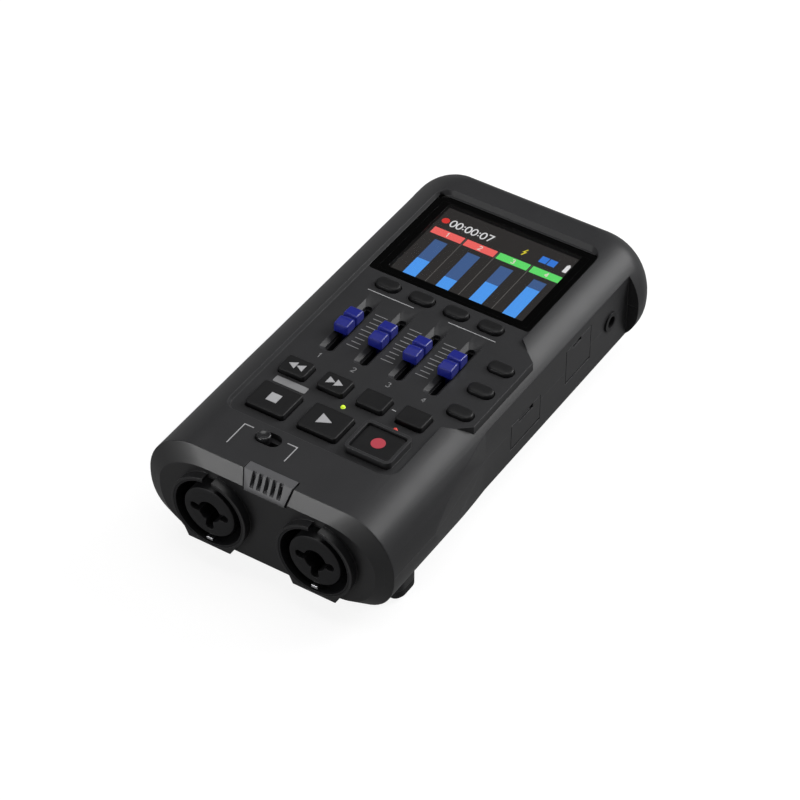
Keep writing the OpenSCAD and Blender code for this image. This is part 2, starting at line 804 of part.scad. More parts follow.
module left_cuts() {
    x1 = -bay_in + over;
    bar_x(-bay_x - bay_drop, x1, at(phones_at), mini_z, mini_collar_r);
    block(-bay_x - bay_drop, x1, at(power_at) - power_w / 2 - power_half_travel - slip,
        at(power_at) + power_w / 2 + power_half_travel + slip, mini_z - power_tall / 2 - slip,
        mini_z + power_tall / 2 + slip);
    translate([-wheel_out + volume_r, at(volume_at), wheel_z - volume_h / 2 - slip])
        cylinder(r = volume_r + slip, h = volume_h + 2 * slip);
    translate([-wheel_out + dial_r, at(dial_at), wheel_z - dial_h / 2 - slip])
        cylinder(r = dial_r + slip, h = dial_h + 2 * slip);
}
module power_toggle() {
    x0 = -bay_in + slip;
    x1 = x0 + power_plate_t;
    y = at(power_at);
    plate = power_w / 2 + power_plate_l;
    lip = power_tall / 2 + power_plate_t;
    color(c_key) union() {
        block(-wheel_out, x1, y - power_w / 2, y + power_w / 2, mini_z - power_tall / 2,
            mini_z + power_tall / 2);
        block(x0, x1, y - plate, y + plate, mini_z - lip, mini_z + lip);
    }
}
module power_toggle_base() {
    x0 = -bay_in + 2 * slip + power_plate_t;
    y = at(power_at);
    color(c_metal) block(x0, x0 + power_base_t, y - power_base_l / 2, y + power_base_l / 2,
        mini_z - power_tall / 2 - power_plate_t, board_low);
}
// Outline of a ribbed rim
function ribbed(r, ribs) = [for (i = [0:ribs - 1]) for (k = [0:3])
    let(a = 360 * (i + k / 4) / ribs, q = k < 2 ? r : r - rib_depth) [q * cos(a), q * sin(a)]];
// Thumb wheel with ribs round its rim
module wheel(r, h, y, ribs) {
    color(c_key) translate([-wheel_out + r, y, wheel_z - h / 2]) difference() {
        linear_extrude(h) polygon(ribbed(r, ribs));
        translate([0, 0, -over]) cylinder(r = shaft_r + pin_gap, h = h + 2 * over);
    }
}
// Base that hangs under the board and carries a wheel on its shaft
module wheel_base(r, h, y) {
    cx = -wheel_out + r;
    half = wheel_base_w / 2;
    top = wheel_z + h / 2 + slip;
    low = wheel_z - h / 2 - slip - 2 * shaft_end;
    color(c_metal) union() {
        block(max(cx - half, -bay_in + seat), cx + half, y - half, y + half, top, board_low);
        translate([cx, y, low]) cylinder(r = shaft_r, h = board_low - low);
        translate([cx, y, low]) cylinder(r = shaft_r + shaft_head, h = 2 * shaft_end);
    }
}
module volume_wheel() {
    wheel(volume_r, volume_h, at(volume_at), volume_ribs);
}
module volume_base() {
    wheel_base(volume_r, volume_h, at(volume_at));
}
module select_dial() {
    wheel(dial_r, dial_h, at(dial_at), dial_ribs);
}
module dial_base() {
    wheel_base(dial_r, dial_h, at(dial_at));
}

/* cell bay and cover in the belly */
cell_gap = 0.4;
cell_rest = 0.15;
cell_roof = 0.3;
cell_side = 0.9;
cell_spring_l = 3;
cell_end = 1.4;
cell_nub_l = 1.2;
cell_nub_r = 2.6;
cover_gap = 0.4;
cover_pin_l = 1;
cover_pin_room = 0.75;
bulge_side = 0.6;
bulge_lead = 1.6;
bulge_tail = 2.4;
bulge_r = 4;
bulge_edge = 1;
pad_in = 1.6;
pad_side = 2;
pad_r = 2;
post_in = 3;
post_r = 2;
bush_wall = 1.6;
bush_cap = 1.5;
contact_half = 5;
contact_t = 0.5;
spring_r = 3.2;
button_r = 2;
grip_at = 3;
grip_half = 5;
grip_w = 2;
grip_deep = 0.8;
foot_taper = 1.2;
foot_edge = 1.4;
screw_post_t = 1;
screw_gap = 0.15;
screw_land = 3;
screw_head_h = 2;
screw_slot_l = 3;
screw_slot_w = 0.7;
cell_x = cell_r + cell_gap;
cell_y = at(cell_from);
bulge_z = pad_h;
cell_z = bulge_z + wall + cell_rest + cell_r;
ceiling_z = cell_z + cell_r + cell_roof;
bay_half = 2 * cell_r + cell_side;
cell_bay_from = cell_y - cell_spring_l;
cell_bay_to = cell_y + cell_l + cell_end;
cover_half = bay_half - cover_gap;
cover_from = cell_bay_from + cover_gap;
cover_to = cell_bay_to - cover_gap;
cover_axis_y = cover_to - wall / 2;
cover_axis_z = bulge_z + wall / 2;
bulge_half = bay_half + bay_wall + bulge_side;
bulge_from = cell_bay_from - bay_wall - bulge_lead;
bulge_to = cell_bay_to + bay_wall + pad_l + bulge_tail;
pad_y = bulge_to - pad_in - pad_l / 2;
pad_x = bulge_half - pad_side - pad_w / 2;
foot_y = front_y + front_foot_at;

module lower_case() {
    color(c_shell) difference() {
        union() {
            difference() {
                intersection() {
                    shell(0, nose_y, smooth_steps, tail_steps);
                    below_seam();
                }
                intersection() {
                    shell(wall, nose_y - over, inner_steps, inner_tail_steps);
                    translate([-case_w, front_y - over, belly_z + wall])
                        cube([2 * case_w, case_l + 2 * over, crown_z]);
                }
            }
            side_backing_low(-1);
            side_backing_low(1);
            translate([0, at(bush_at), belly_z]) cylinder(r = bush_r + bush_wall, h = bush_h);
            for (s = [-1, 1]) {
                screw_post(s * screw_front_x, screw_front_y);
                screw_post(s * screw_rear_x, screw_rear_y);
            }
        }
        for (s = [-1, 1]) {
            side_bay(s);
            screw_seat(s * screw_front_x, screw_front_y);
            screw_seat(s * screw_rear_x, screw_rear_y);
        }
        hatch_cuts();
        left_cuts();
        block(-tray_half - seat, tray_half + seat, tray_from - seat, tray_to + seat, belly_z - over,
            belly_z + wall + thin);
        translate([0, at(bush_at), belly_z - over]) cylinder(r = bush_r + seat, h = bush_h + 2 * over);
    }
}
module screw_post(x, y) {
    intersection() {
        translate([x, y, belly_z]) cylinder(r = screw_head_r + screw_post_t, h = seam_up);
        shell(wall / 2, nose_y, inner_steps, inner_tail_steps);
    }
}
module screw_seat(x, y) {
    translate([x, y, belly_z - over]) cylinder(r = screw_r + screw_gap, h = seam_up + 2 * over);
    translate([x, y, belly_z - over]) cylinder(r = screw_head_r + screw_gap,
        h = seam_up - screw_land + over);
}
module case_screws() {
    color(c_metal) for (s = [-1, 1]) {
        screw(s * screw_front_x, screw_front_y);
        screw(s * screw_rear_x, screw_rear_y);
    }
}
module screw(x, y) {
    head_z = belly_z + seam_up - screw_land;
    difference() {
        union() {
            translate([x, y, head_z - screw_head_h]) cylinder(r = screw_head_r, h = screw_head_h);
            translate([x, y, head_z - over]) cylinder(r = screw_r, h = screw_top_z - head_z + over);
        }
        for (a = [0, 90]) translate([x, y, head_z - screw_head_h]) rotate(a)
            cube([screw_slot_l, screw_slot_w, 2 * screw_slot_w], center = true);
    }
}

// Tray for the cells: walls that pass through the belly, on a bulge that lies against it from below
tray_half = bay_half + bay_wall;
tray_from = cell_bay_from - bay_wall;
tray_to = cell_bay_to + bay_wall;
module cell_tray() {
    pin = cover_half + slip + cover_pin_l + cover_pin_room;
    color(c_shell) difference() {
        union() {
            difference() {
                bulge();
                shell(-seat, nose_y - over, inner_steps, inner_tail_steps);
            }
            block(-tray_half, tray_half, tray_from, tray_to, bulge_z + bulge_edge, ceiling_z + bay_wall);
            for (s = [-1, 1]) for (y = [cell_bay_from + post_in, cell_bay_to - post_in])
                translate([s * (bay_half - post_in), y, ceiling_z])
                    cylinder(r = post_r, h = board_low - ceiling_z);
        }
        block(-bay_half, bay_half, cell_bay_from, cell_bay_to, bulge_z + wall, ceiling_z);
        block(-bay_half, bay_half, tray_to, bulge_to - wall, bulge_z + wall, belly_z + wall + thin);
        block(-cover_half - slip, cover_half + slip, cover_from - slip, cover_to + slip, bulge_z - over,
            bulge_z + wall + thin);
        bar_x(-pin, pin, cover_axis_y, cover_axis_z, cover_pin_r + pin_gap);
    }
}
// Bulge under the belly for the cells
module bulge() {
    e = bulge_edge;
    w = bulge_half;
    loft([
        ring_at(round_rect(-w + e, w - e, bulge_from + e, bulge_to - e, bulge_r - e), bulge_z),
        ring_at(round_rect(-w, w, bulge_from, bulge_to, bulge_r), bulge_z + e),
        ring_at(round_rect(-w - e, w + e, bulge_from - e, bulge_to + e, bulge_r + e),
        belly_z + wall / 2)]);
}
// Outline of a front foot on side s, drawn in by k
function foot_outline(s, k) = round_rect(s > 0 ? front_foot_in + k : -front_foot_out + k,
    s > 0 ? front_foot_out - k : -front_foot_in - k, foot_y - foot_l / 2 + k, foot_y + foot_l / 2 - k,
    foot_r - k, 6);
// Moulded legs that carry the front feet
module front_legs() {
    color(c_shell) for (s = [-1, 1]) difference() {
        prism(foot_outline(s, 0), foot_h, waist_z - over);
        shell(-seat, nose_y - over, smooth_steps, tail_steps);
    }
}
module feet() {
    color(c_rubber) for (s = [-1, 1]) {
        loft([ring_at(foot_outline(s, foot_taper), 0), ring_at(foot_outline(s, 0), foot_edge),
            ring_at(foot_outline(s, 0), foot_h)]);
        prism(round_rect(s * pad_x - pad_w / 2, s * pad_x + pad_w / 2, pad_y - pad_l / 2,
            pad_y + pad_l / 2, pad_r),
            0, pad_h);
    }
}

module battery_cover() {
    pin = cover_half + slip + cover_pin_l;
    color(c_shell) difference() {
        union() {
            block(-cover_half, cover_half, cover_from, cover_axis_y, bulge_z, bulge_z + wall);
            bar_x(-cover_half, cover_half, cover_axis_y, cover_axis_z, wall / 2);
            bar_x(-pin, pin, cover_axis_y, cover_axis_z, cover_pin_r);
        }
        for (i = [1, 2]) block(-grip_half, grip_half, cover_from + i * grip_at,
            cover_from + i * grip_at + grip_w,
            bulge_z - over, bulge_z + grip_deep);
    }
}
// Round cell with its nub; s is the side, the nub points to the tail when turn is 1
module cell(s, turn) {
    x = s * cell_x;
    nub = cell_nub_l;
    y0 = cell_y;
    y1 = cell_y + cell_l;
    color([0.2, 0.45, 0.35]) union() {
        bar_y(x, turn > 0 ? y0 : y0 + nub, turn > 0 ? y1 - nub : y1, cell_z, cell_r);
        bar_y(x, turn > 0 ? y1 - nub - over : y0, turn > 0 ? y1 : y0 + nub + over, cell_z, cell_nub_r);
    }
}
module cell_1() {
    cell(-1, 1);
}
module cell_2() {
    cell(1, -1);
}
module cell_contacts() {
    low = cell_z - contact_half;
    high = cell_z + contact_half;
    w = cell_x + contact_half;
    color(c_metal) union() {
        block(-w, w, cell_bay_to - contact_t, cell_bay_to, low, high);
        bar_y(cell_x, cell_y + cell_l, cell_bay_to, cell_z, spring_r);
        bar_y(-cell_x, cell_y + cell_l, cell_bay_to, cell_z, button_r);
        for (s = [-1, 1]) {
            block(s * cell_x - contact_half, s * cell_x + contact_half, cell_bay_from,
                cell_bay_from + contact_t,
                low, high);
            bar_y(s * cell_x, cell_bay_from, cell_y, cell_z, s > 0 ? button_r : spring_r);
        }
    }
}
module tripod_bush() {
    color([0.75, 0.6, 0.3]) difference() {
        translate([0, at(bush_at), belly_z]) cylinder(r = bush_r, h = bush_h);
        translate([0, at(bush_at), belly_z - over]) cylinder(r = thread_r, h = bush_h - bush_cap + over);
    }
}

/* front end */
slope_low = crown_z - slope_drop;
rim_l = 1.8;
rim_t = 1.2;
collar_foot_up = 1.2;
collar_foot_half = 6.5;
collar_knee_half = 7.7;
collar_knee_up = 3.8;

// The front panel: a plate with a chamfer all round, a rim behind it that enters the case, and two collars
module front_panel() {
    color(c_front) difference() {
        union() {
            loft([
                ring_y(section(0, 0, 0, smooth_steps), nose_y),
                ring_y(section(face_inset, slope_drop, face_lift, smooth_steps), face_y)]);
            difference() {
                rim(wall + seat, nose_y + rim_l, nose_y - over);
                rim(wall + seat + rim_t, nose_y + rim_l + over, nose_y - 2 * over);
            }
            for (s = [-1, 1]) collar(s * jack_x);
        }
        for (s = [-1, 1]) {
            bar_y(s * jack_x, front_y - over, nose_y + rim_l + over, jack_z, jack_bore_r);
            block(s * jack_x - latch_half, s * jack_x + latch_half, front_y - over, face_y, jack_z,
                jack_z + collar_r + over);
        }
        grille_cut();
    }
}
// Solid of the rim, drawn in by s from the case, its top under the thicker wall of the control panel
module rim(s, y1, y0) {
    drop = s + crown_z - under_z - wall;
    loft([ring_y(section(s, drop, s, inner_steps), y1), ring_y(section(s, drop, s, inner_steps), y0)]);
}
// Collar of a jack, squared off to a flat foot at the bottom
module collar(x) {
    foot_z = belly_z + collar_foot_up;
    knee_z = belly_z + collar_knee_up;
    intersection() {
        bar_y(x, front_y, nose_y, jack_z, collar_r);
        block(x - collar_r, x + collar_r, front_y - over, nose_y + over, foot_z, crown_z);
    }
    prism_y([[x - collar_foot_half, foot_z], [x + collar_foot_half, foot_z], [x + collar_knee_half, knee_z],
        [x, jack_z], [x - collar_knee_half, knee_z]], front_y, nose_y);
}

/* grille over the microphones, set into the slope between the jacks */
grille_foot = 0.6;
grille_back = 2.6;
grille_rim = 0.7;
mic_room = 0.02;
mic_front = 0.3;
grille_foot_z = slope_low - grille_foot;
grille_back_y = slope_y + grille_back;
mic_y = grille_back_y - mic_l;
mic_z = crown_z - grille_rim - mic_r;
// Grille outline across, wider at the crown by its two half widths
function grille_face(more) = let(foot = grille_half_foot + more, top = grille_half_top + more)
    [[-foot, grille_foot_z - more], [foot, grille_foot_z - more], [top, crown_z + over], [-top,
        crown_z + over]];

module grille_cut() {
    prism_y(grille_face(grille_gap), front_y, grille_back_y + seat);
}
grille_gap = 0.45;
module mic_grille() {
    color([0.42, 0.42, 0.43]) difference() {
        intersection() {
            prism_y(grille_face(0), front_y, grille_back_y);
            prism_x([[face_y - grille_proud, grille_foot_z - over], [grille_back_y, grille_foot_z - over],
                [grille_back_y, crown_z + grille_proud / 2], [slope_y - grille_proud / 2,
                crown_z + grille_proud / 2],
                [face_y - grille_proud, slope_low]], -case_w / 2, case_w / 2);
        }
        for (i = [-2:2]) block(i * grille_pitch - grille_slot_w / 2,
            i * grille_pitch + grille_slot_w / 2, front_y,
            mic_y, slope_low + grille_rim, crown_z + over);
        for (s = [-1, 1])
            bar_y(s * mic_pitch / 2, mic_y - mic_front, grille_back_y + over, mic_z, mic_r + mic_room);
    }
}
module mic_capsules() {
    color(c_metal) for (s = [-1, 1]) bar_y(s * mic_pitch / 2, mic_y, grille_back_y, mic_z, mic_r);
}

jack_floor = 2;
jack_cap = 3;
plug_room = 0.1;
tube_in = 0.1;
core_in = 0.5;
pin_floor = 1;
latch_half = 1.45;
latch_gap = 0.6;
board_edge = 1;
groove_y = front_y + groove_l;
jack_back_y = front_y + jack_l;
// Where the jack's wide body starts, behind the rim of the front panel
jack_body_y = nose_y + rim_l + seat;
module jack_shell(x) {
    tube_r = jack_bore_r - seat;
    color(c_front) difference() {
        union() {
            bar_y(x, front_y + tube_in, nose_y, jack_z, tube_r);
            intersection() {
                union() {
                    bar_y(x, nose_y - over, jack_body_y + over, jack_z, tube_r);
                    bar_y(x, jack_body_y, groove_y + jack_floor, jack_z, jack_body_r);
                }
                block(x - 2 * jack_body_r, x + 2 * jack_body_r, front_y, jack_back_y,
                    belly_z + wall + seat, crown_z);
            }
            bar_y(x, groove_y, jack_back_y, jack_z, jack_tail_r);
        }
        bar_y(x, front_y - over, groove_y, jack_z, tube_r - jack_tube_t);
        bar_y(x, groove_y - over, jack_back_y - jack_cap, jack_z, plug_r + plug_room);
        block(x - latch_half, x + latch_half, front_y - over, face_y, jack_z + core_r + latch_gap,
            jack_z + collar_r);
    }
}
module jack_core(x) {
    color(c_front) difference() {
        bar_y(x, front_y + core_in, groove_y, jack_z, core_r);
        bar_y(x, front_y - over, groove_y + over, jack_z, plug_r);
        for (a = [180, 0, 270]) bar_y(x + pin_circle_r * cos(a), front_y - over, groove_y - pin_floor,
            jack_z + pin_circle_r * sin(a), pin_r);
    }
}
module jack_shell_a() {
    jack_shell(-jack_x);
}
module jack_shell_b() {
    jack_shell(jack_x);
}
module jack_core_a() {
    jack_core(-jack_x);
}
module jack_core_b() {
    jack_core(jack_x);
}
module jack_board() {
    w = jack_x + jack_body_r - board_edge;
    color(c_board) intersection() {
        block(-w, w, jack_back_y, jack_back_y + board_t, belly_z + wall + seat, board_low);
        shell(wall + 2 * seat, nose_y, inner_steps, inner_tail_steps);
    }
}

/* display and board */
module display_window() {
    w = window_w / 2;
    color([0.05, 0.05, 0.06]) prism(round_rect(-w, w, window_y - window_l / 2, window_y + window_l / 2,
        window_r - seat), panel_z - window_t, panel_z);
}
picture_shift = 0.8;
lcd_rim = 2;
lcd_z = panel_z - window_t;
picture_y = window_y + picture_shift - picture_l / 2;
module display_module() {
    m = lcd_w / 2;
    h = lcd_l / 2;
    c = window_y;
    color(c_metal) union() {
        difference() {
            block(-m, m, c - h, c + h, lcd_z - lcd_t, lcd_z);
            block(-picture_w / 2, picture_w / 2, picture_y, picture_y + picture_l, lcd_z - lcd_gap,
                panel_z);
        }
        block(-m + lcd_rim, m - lcd_rim, c - h + lcd_rim, c + h - lcd_rim, board_z, lcd_z - lcd_t + thin);
    }
}
board_gap = 2;
board_side = 1.2;
board_tail = 2.6;
board_from = groove_y + jack_floor + board_gap;
board_step = screw_front_y + boss_r + board_gap;
board_to = screw_rear_y - boss_r - board_tail;
module main_board() {
    x0 = bay_in - board_side;
    x1 = screw_front_x - boss_r - board_edge;
    color(c_board) union() {
        block(-x0, x0, board_step, board_to, board_low, board_z);
        block(-x1, x1, board_from, board_step + thin, board_low, board_z);
    }
}

/* faders */
fader_floor = 1.4;
cap_float = 0.5;
cap_taper = 0.5;
cap_groove = 0.7;
cap_crest = 1.5;
module fader_bodies() {
    y = at(fader_at);
    w = fader_body_w / 2;
    l = fader_body_l / 2;
    track_w = stem_w / 2 + slip;
    track_l = fader_half_travel + stem_l / 2 + slip;
    color(c_metal) for (i = [0:3]) difference() {
        block(channel_x(i) - w, channel_x(i) + w, y - l, y + l, board_z, under_z);
        block(channel_x(i) - track_w, channel_x(i) + track_w, y - track_l, y + track_l,
            board_z + fader_floor,
            under_z + over);
    }
}
module fader_cap(i) {
    x = channel_x(i);
    y = at(fader_at);
    base = panel_z + cap_float;
    top = panel_z + cap_up;
    color(c_cap) union() {
        block(x - stem_w / 2, x + stem_w / 2, y - stem_l / 2, y + stem_l / 2,
            board_z + fader_floor + slip,
            base + over);
        prism_x([[y - cap_l / 2, base], [y + cap_l / 2, base], [y + cap_l / 2 - cap_taper, top],
            [y + cap_crest, top], [y + cap_groove, top - cap_taper], [y - cap_groove, top - cap_taper],
            [y - cap_crest, top],
            [y - cap_l / 2 + cap_taper, top]], x - cap_w / 2, x + cap_w / 2);
    }
}
module fader_cap_1() {
    fader_cap(0);
}
module fader_cap_2() {
    fader_cap(1);
}
module fader_cap_3() {
    fader_cap(2);
}
module fader_cap_4() {
    fader_cap(3);
}

/* keys */
// Key with a flange under the panel and a stem to its switch
module key(x, y, w, l, up, r) {
    color(c_key) union() {
        prism(round_rect(x - w / 2, x + w / 2, y - l / 2, y + l / 2, r), flange_top - key_flange_t,
            panel_z + up);
        prism(round_rect(x - w / 2 - key_flange, x + w / 2 + key_flange, y - l / 2 - key_flange,
            y + l / 2 + key_flange, r), flange_top - key_flange_t, flange_top);
        translate([x, y, stem_low]) cylinder(r = key_stem_r, h = key_stem + key_flange_t);
    }
}
module channel_key(i) {
    key(channel_x(i), at(channel_key_at), pill_w, pill_l, pill_up, pill_r);
}
module column_key(i) {
    key(key_column_x, column_y[i], pill_w, pill_l, pill_up, pill_r);
}
module small_key(i) {
    key(key_small_x[i], at(small_key_at), small_key_w, small_key_l, key_up, key_r);
}
module large_key(i) {
    key(key_large_x[i], at(large_key_at), i == 2 ? record_key_w : large_key_w, large_key_l, key_up,
        key_r);
}
module channel_key_1() {
    channel_key(0);
}
module channel_key_2() {
    channel_key(1);
}
module channel_key_3() {
    channel_key(2);
}
module channel_key_4() {
    channel_key(3);
}
module input_key() {
    column_key(0);
}
module effect_key() {
    column_key(1);
}
module rhythm_key() {
    column_key(2);
}
module rewind_key() {
    small_key(0);
}
module forward_key() {
    small_key(1);
}
module undo_key() {
    small_key(2);
}
module bounce_key() {
    small_key(3);
}
module stop_key() {
    large_key(0);
}
module play_key() {
    large_key(1);
}
module record_key() {
    large_key(2);
}
// One push switch under a key
switch_half = 1.9;
plunger_r = 1;
plunger_up = 0.5;
module push_switch(x, y) {
    translate([x, y, board_z]) cylinder(r = plunger_r, h = switch_top - board_z);
    block(x - switch_half, x + switch_half, y - switch_half, y + switch_half, board_z,
        switch_top - plunger_up);
}
module key_switches() {
    color(c_metal) {
        for (i = [0:3]) {
            push_switch(channel_x(i), at(channel_key_at));
            push_switch(key_small_x[i], at(small_key_at));
        }
        for (i = [0:2]) {
            push_switch(key_column_x, column_y[i]);
            push_switch(key_large_x[i], at(large_key_at));
        }
    }
}

/* lamps and input switch */
lamp_up = 0.2;
toggle_up = 0.9;
toggle_stem_l = 1.6;
toggle_base_w = 8.8;
toggle_base_l = 4.8;
toggle_base_h = 2.4;
module lamp(x) {
    translate([x, at(lamp_at), board_z]) cylinder(r = lamp_r, h = panel_z + lamp_up - board_z);
}
module play_lamp() {
    color([0.6, 0.8, 0.2]) lamp(key_large_x[1]);
}
module record_lamp() {
    color([0.7, 0.15, 0.15]) lamp(key_large_x[2]);
}
module input_toggle() {
    x = toggle_x - toggle_half_travel;
    y = at(toggle_at);
    low = crown_z - toggle_pocket + slip;
    color(c_key) union() {
        translate([x, y, low]) cylinder(r = toggle_r, h = crown_z + toggle_up - low);
        block(x - toggle_stem, x + toggle_stem, y - toggle_stem, y + toggle_stem,
            under_z - toggle_stem_l, low + over);
    }
}
module input_toggle_base() {
    y = at(toggle_at);
    w = toggle_base_w / 2;
    l = toggle_base_l / 2;
    side = toggle_stem + slip;
    h = toggle_half_travel + side;
    color(c_metal) difference() {
        block(toggle_x - w, toggle_x + w, y - l, y + l, under_z - toggle_base_h, under_z);
        block(toggle_x - h, toggle_x + h, y - side, y + side, under_z - toggle_stem_l - slip,
            under_z + over);
    }
}

upper_case();
lower_case();
front_legs();
cell_tray();
front_panel();
mic_grille();
mic_capsules();
display_window();
display_module();
main_board();
jack_board();
jack_shell_a();
jack_shell_b();
jack_core_a();
jack_core_b();
fader_bodies();
fader_cap_1();
fader_cap_2();
fader_cap_3();
fader_cap_4();
channel_key_1();
channel_key_2();
channel_key_3();
channel_key_4();
input_key();
effect_key();
rhythm_key();
rewind_key();
forward_key();
undo_key();
bounce_key();
stop_key();
play_key();
record_key();
key_switches();
play_lamp();
record_lamp();
input_toggle();
input_toggle_base();
data_hatch();
card_hatch();
data_socket();
card_socket();
line_socket();
phones_socket();
power_toggle();
power_toggle_base();
volume_wheel();
volume_base();
select_dial();
dial_base();
battery_cover();
cell_1();
cell_2();
cell_contacts();
tripod_bush();
case_screws();
feet();
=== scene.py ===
"""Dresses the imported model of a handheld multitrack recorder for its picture."""
import math

import bpy
import numpy as np
from mathutils import Matrix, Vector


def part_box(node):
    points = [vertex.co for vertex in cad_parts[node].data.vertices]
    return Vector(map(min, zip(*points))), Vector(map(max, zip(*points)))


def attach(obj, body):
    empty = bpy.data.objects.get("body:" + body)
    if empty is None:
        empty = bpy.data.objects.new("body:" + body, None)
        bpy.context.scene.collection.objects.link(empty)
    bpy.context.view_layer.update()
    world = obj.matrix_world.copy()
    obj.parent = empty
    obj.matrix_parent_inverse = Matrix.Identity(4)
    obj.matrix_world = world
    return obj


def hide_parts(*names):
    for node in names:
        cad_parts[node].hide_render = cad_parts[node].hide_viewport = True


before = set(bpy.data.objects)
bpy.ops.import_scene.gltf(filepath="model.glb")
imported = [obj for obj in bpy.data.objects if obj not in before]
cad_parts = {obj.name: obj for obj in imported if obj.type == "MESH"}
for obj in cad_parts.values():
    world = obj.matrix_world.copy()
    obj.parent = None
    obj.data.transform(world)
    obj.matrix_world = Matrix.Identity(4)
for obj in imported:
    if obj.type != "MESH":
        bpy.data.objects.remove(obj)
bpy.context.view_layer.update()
scene = bpy.context.scene
scene.view_settings.view_transform = "Standard"

# Studio: a pale table, pale walls and a dark ceiling round the recorder. The table and the
# walls look white to the lens, dimmer in gloss and glass, and the table keeps the shadow.


def add_node(tree, kind, **values):
    """One shader or geometry node in tree, its sockets set by name with blanks as underscores."""
    made = tree.nodes.new(kind)
    for name, value in values.items():
        made.inputs[name.replace("_", " ")].default_value = value
    return made


def add_math(tree, operation, *terms):
    """Result of one math node in tree, whose terms are numbers or sockets of other nodes."""
    made = add_node(tree, "ShaderNodeMath")
    made.operation = operation
    for socket, term in zip(made.inputs, terms):
        if isinstance(term, bpy.types.NodeSocket):
            tree.links.new(term, socket)
        else:
            socket.default_value = term
    return made.outputs[0]


def pale_look(tree, shares):
    """Sum of Light Path's marks, such as Is Camera Ray, each times its share of the glow."""
    path = add_node(tree, "ShaderNodeLightPath")
    total = 0.0
    for name, share in shares.items():
        total = add_math(tree, "MULTIPLY_ADD", path.outputs[name], share, total)
    return total


WALL_LEVEL, CEILING_LEVEL = 0.45, 0.05
WALL_TOP, CEILING_EDGE = 0.14, 0.42
air = bpy.data.worlds.new("studio_air")
air.use_nodes = True
scene.world = air
air_tree = air.node_tree
air_tree.nodes.clear()
air_way = add_node(air_tree, "ShaderNodeTexCoord")
air_rise = add_node(air_tree, "ShaderNodeSeparateXYZ")
air_fall = add_node(air_tree, "ShaderNodeMapRange", From_Min=WALL_TOP, From_Max=CEILING_EDGE,
                    To_Min=WALL_LEVEL, To_Max=CEILING_LEVEL)
air_glow = add_node(air_tree, "ShaderNodeBackground", Color=(1, 1, 1, 1))
air_out = add_node(air_tree, "ShaderNodeOutputWorld")
air_tree.links.new(air_way.outputs["Generated"], air_rise.inputs[0])
air_tree.links.new(air_rise.outputs["Z"], air_fall.inputs["Value"])
air_seen = add_math(air_tree, "MAXIMUM", pale_look(air_tree, {"Is Camera Ray": 1.0}),
                    air_fall.outputs["Result"])
air_tree.links.new(air_seen, air_glow.inputs["Strength"])
air_tree.links.new(air_glow.outputs[0], air_out.inputs[0])

TABLE_HALF = 6.0
TABLE_GLOWS = {"Is Camera Ray": 0.88, "Is Glossy Ray": 0.12, "Is Transmission Ray": 0.12}
TABLE_SHADE = (0.18, 0.18, 0.18, 1)
table_corners = [(x * TABLE_HALF, y * TABLE_HALF, 0)
                 for x, y in ((-1, -1), (1, -1), (1, 1), (-1, 1))]
table_mesh = bpy.data.meshes.new("table_top")
table_mesh.from_pydata(table_corners, [], [(0, 1, 2, 3)])
table_top = bpy.data.objects.new("table_top", table_mesh)
scene.collection.objects.link(table_top)
table_paint = bpy.data.materials.new("pale_table")
table_paint.use_nodes = True
table_tree = table_paint.node_tree
table_tree.nodes.clear()
table_matt = add_node(table_tree, "ShaderNodeBsdfDiffuse", Color=TABLE_SHADE)
table_glow = add_node(table_tree, "ShaderNodeEmission", Color=(1, 1, 1, 1))
table_sum = add_node(table_tree, "ShaderNodeAddShader")
table_out = add_node(table_tree, "ShaderNodeOutputMaterial")
table_tree.links.new(pale_look(table_tree, TABLE_GLOWS), table_glow.inputs["Strength"])
table_tree.links.new(table_matt.outputs[0], table_sum.inputs[0])
table_tree.links.new(table_glow.outputs[0], table_sum.inputs[1])
table_tree.links.new(table_sum.outputs[0], table_out.inputs[0])
table_mesh.materials.append(table_paint)

# Soft boxes: one over the panel, one behind on the right for the shoulder and a low one in
# front on the left for the chamfer over the jacks. Each is a white cloth front, with its
# place, width and height in metres and its power in watts.


def placed(side, rise, back, place):
    """Matrix that puts a thing at place, in metres, with its X, Y and Z along the other three."""
    seat = np.eye(4)
    seat[:3] = np.c_[side, rise, back, place]
    return Matrix(seat.tolist())


SOFT_BOXES = (
    ("box_over", (0.0, 0.05, 0.90), 0.80, 0.80, 5.0),
    ("box_shoulder", (0.44, 0.59, 0.50), 0.52, 0.44, 6.8),
    ("box_slope", (-0.30, -0.66, 0.12), 0.36, 0.20, 2.3),
)
OBJECT_MIDDLE = np.array([0.0, 0.0, 0.02])
for box_name, place, wide, tall, watts in SOFT_BOXES:
    lamp_data = bpy.data.lights.new(box_name, "AREA")
    lamp_data.shape = "RECTANGLE"
    lamp_data.size, lamp_data.size_y, lamp_data.energy = wide, tall, watts
    lamp_object = bpy.data.objects.new(box_name, lamp_data)
    back = np.array(place) - OBJECT_MIDDLE
    back /= np.linalg.norm(back)
    side = np.cross((0, 0, 1), back)
    side /= np.linalg.norm(side)
    lamp_object.matrix_world = placed(side, np.cross(back, side), back, place)
    scene.collection.objects.link(lamp_object)

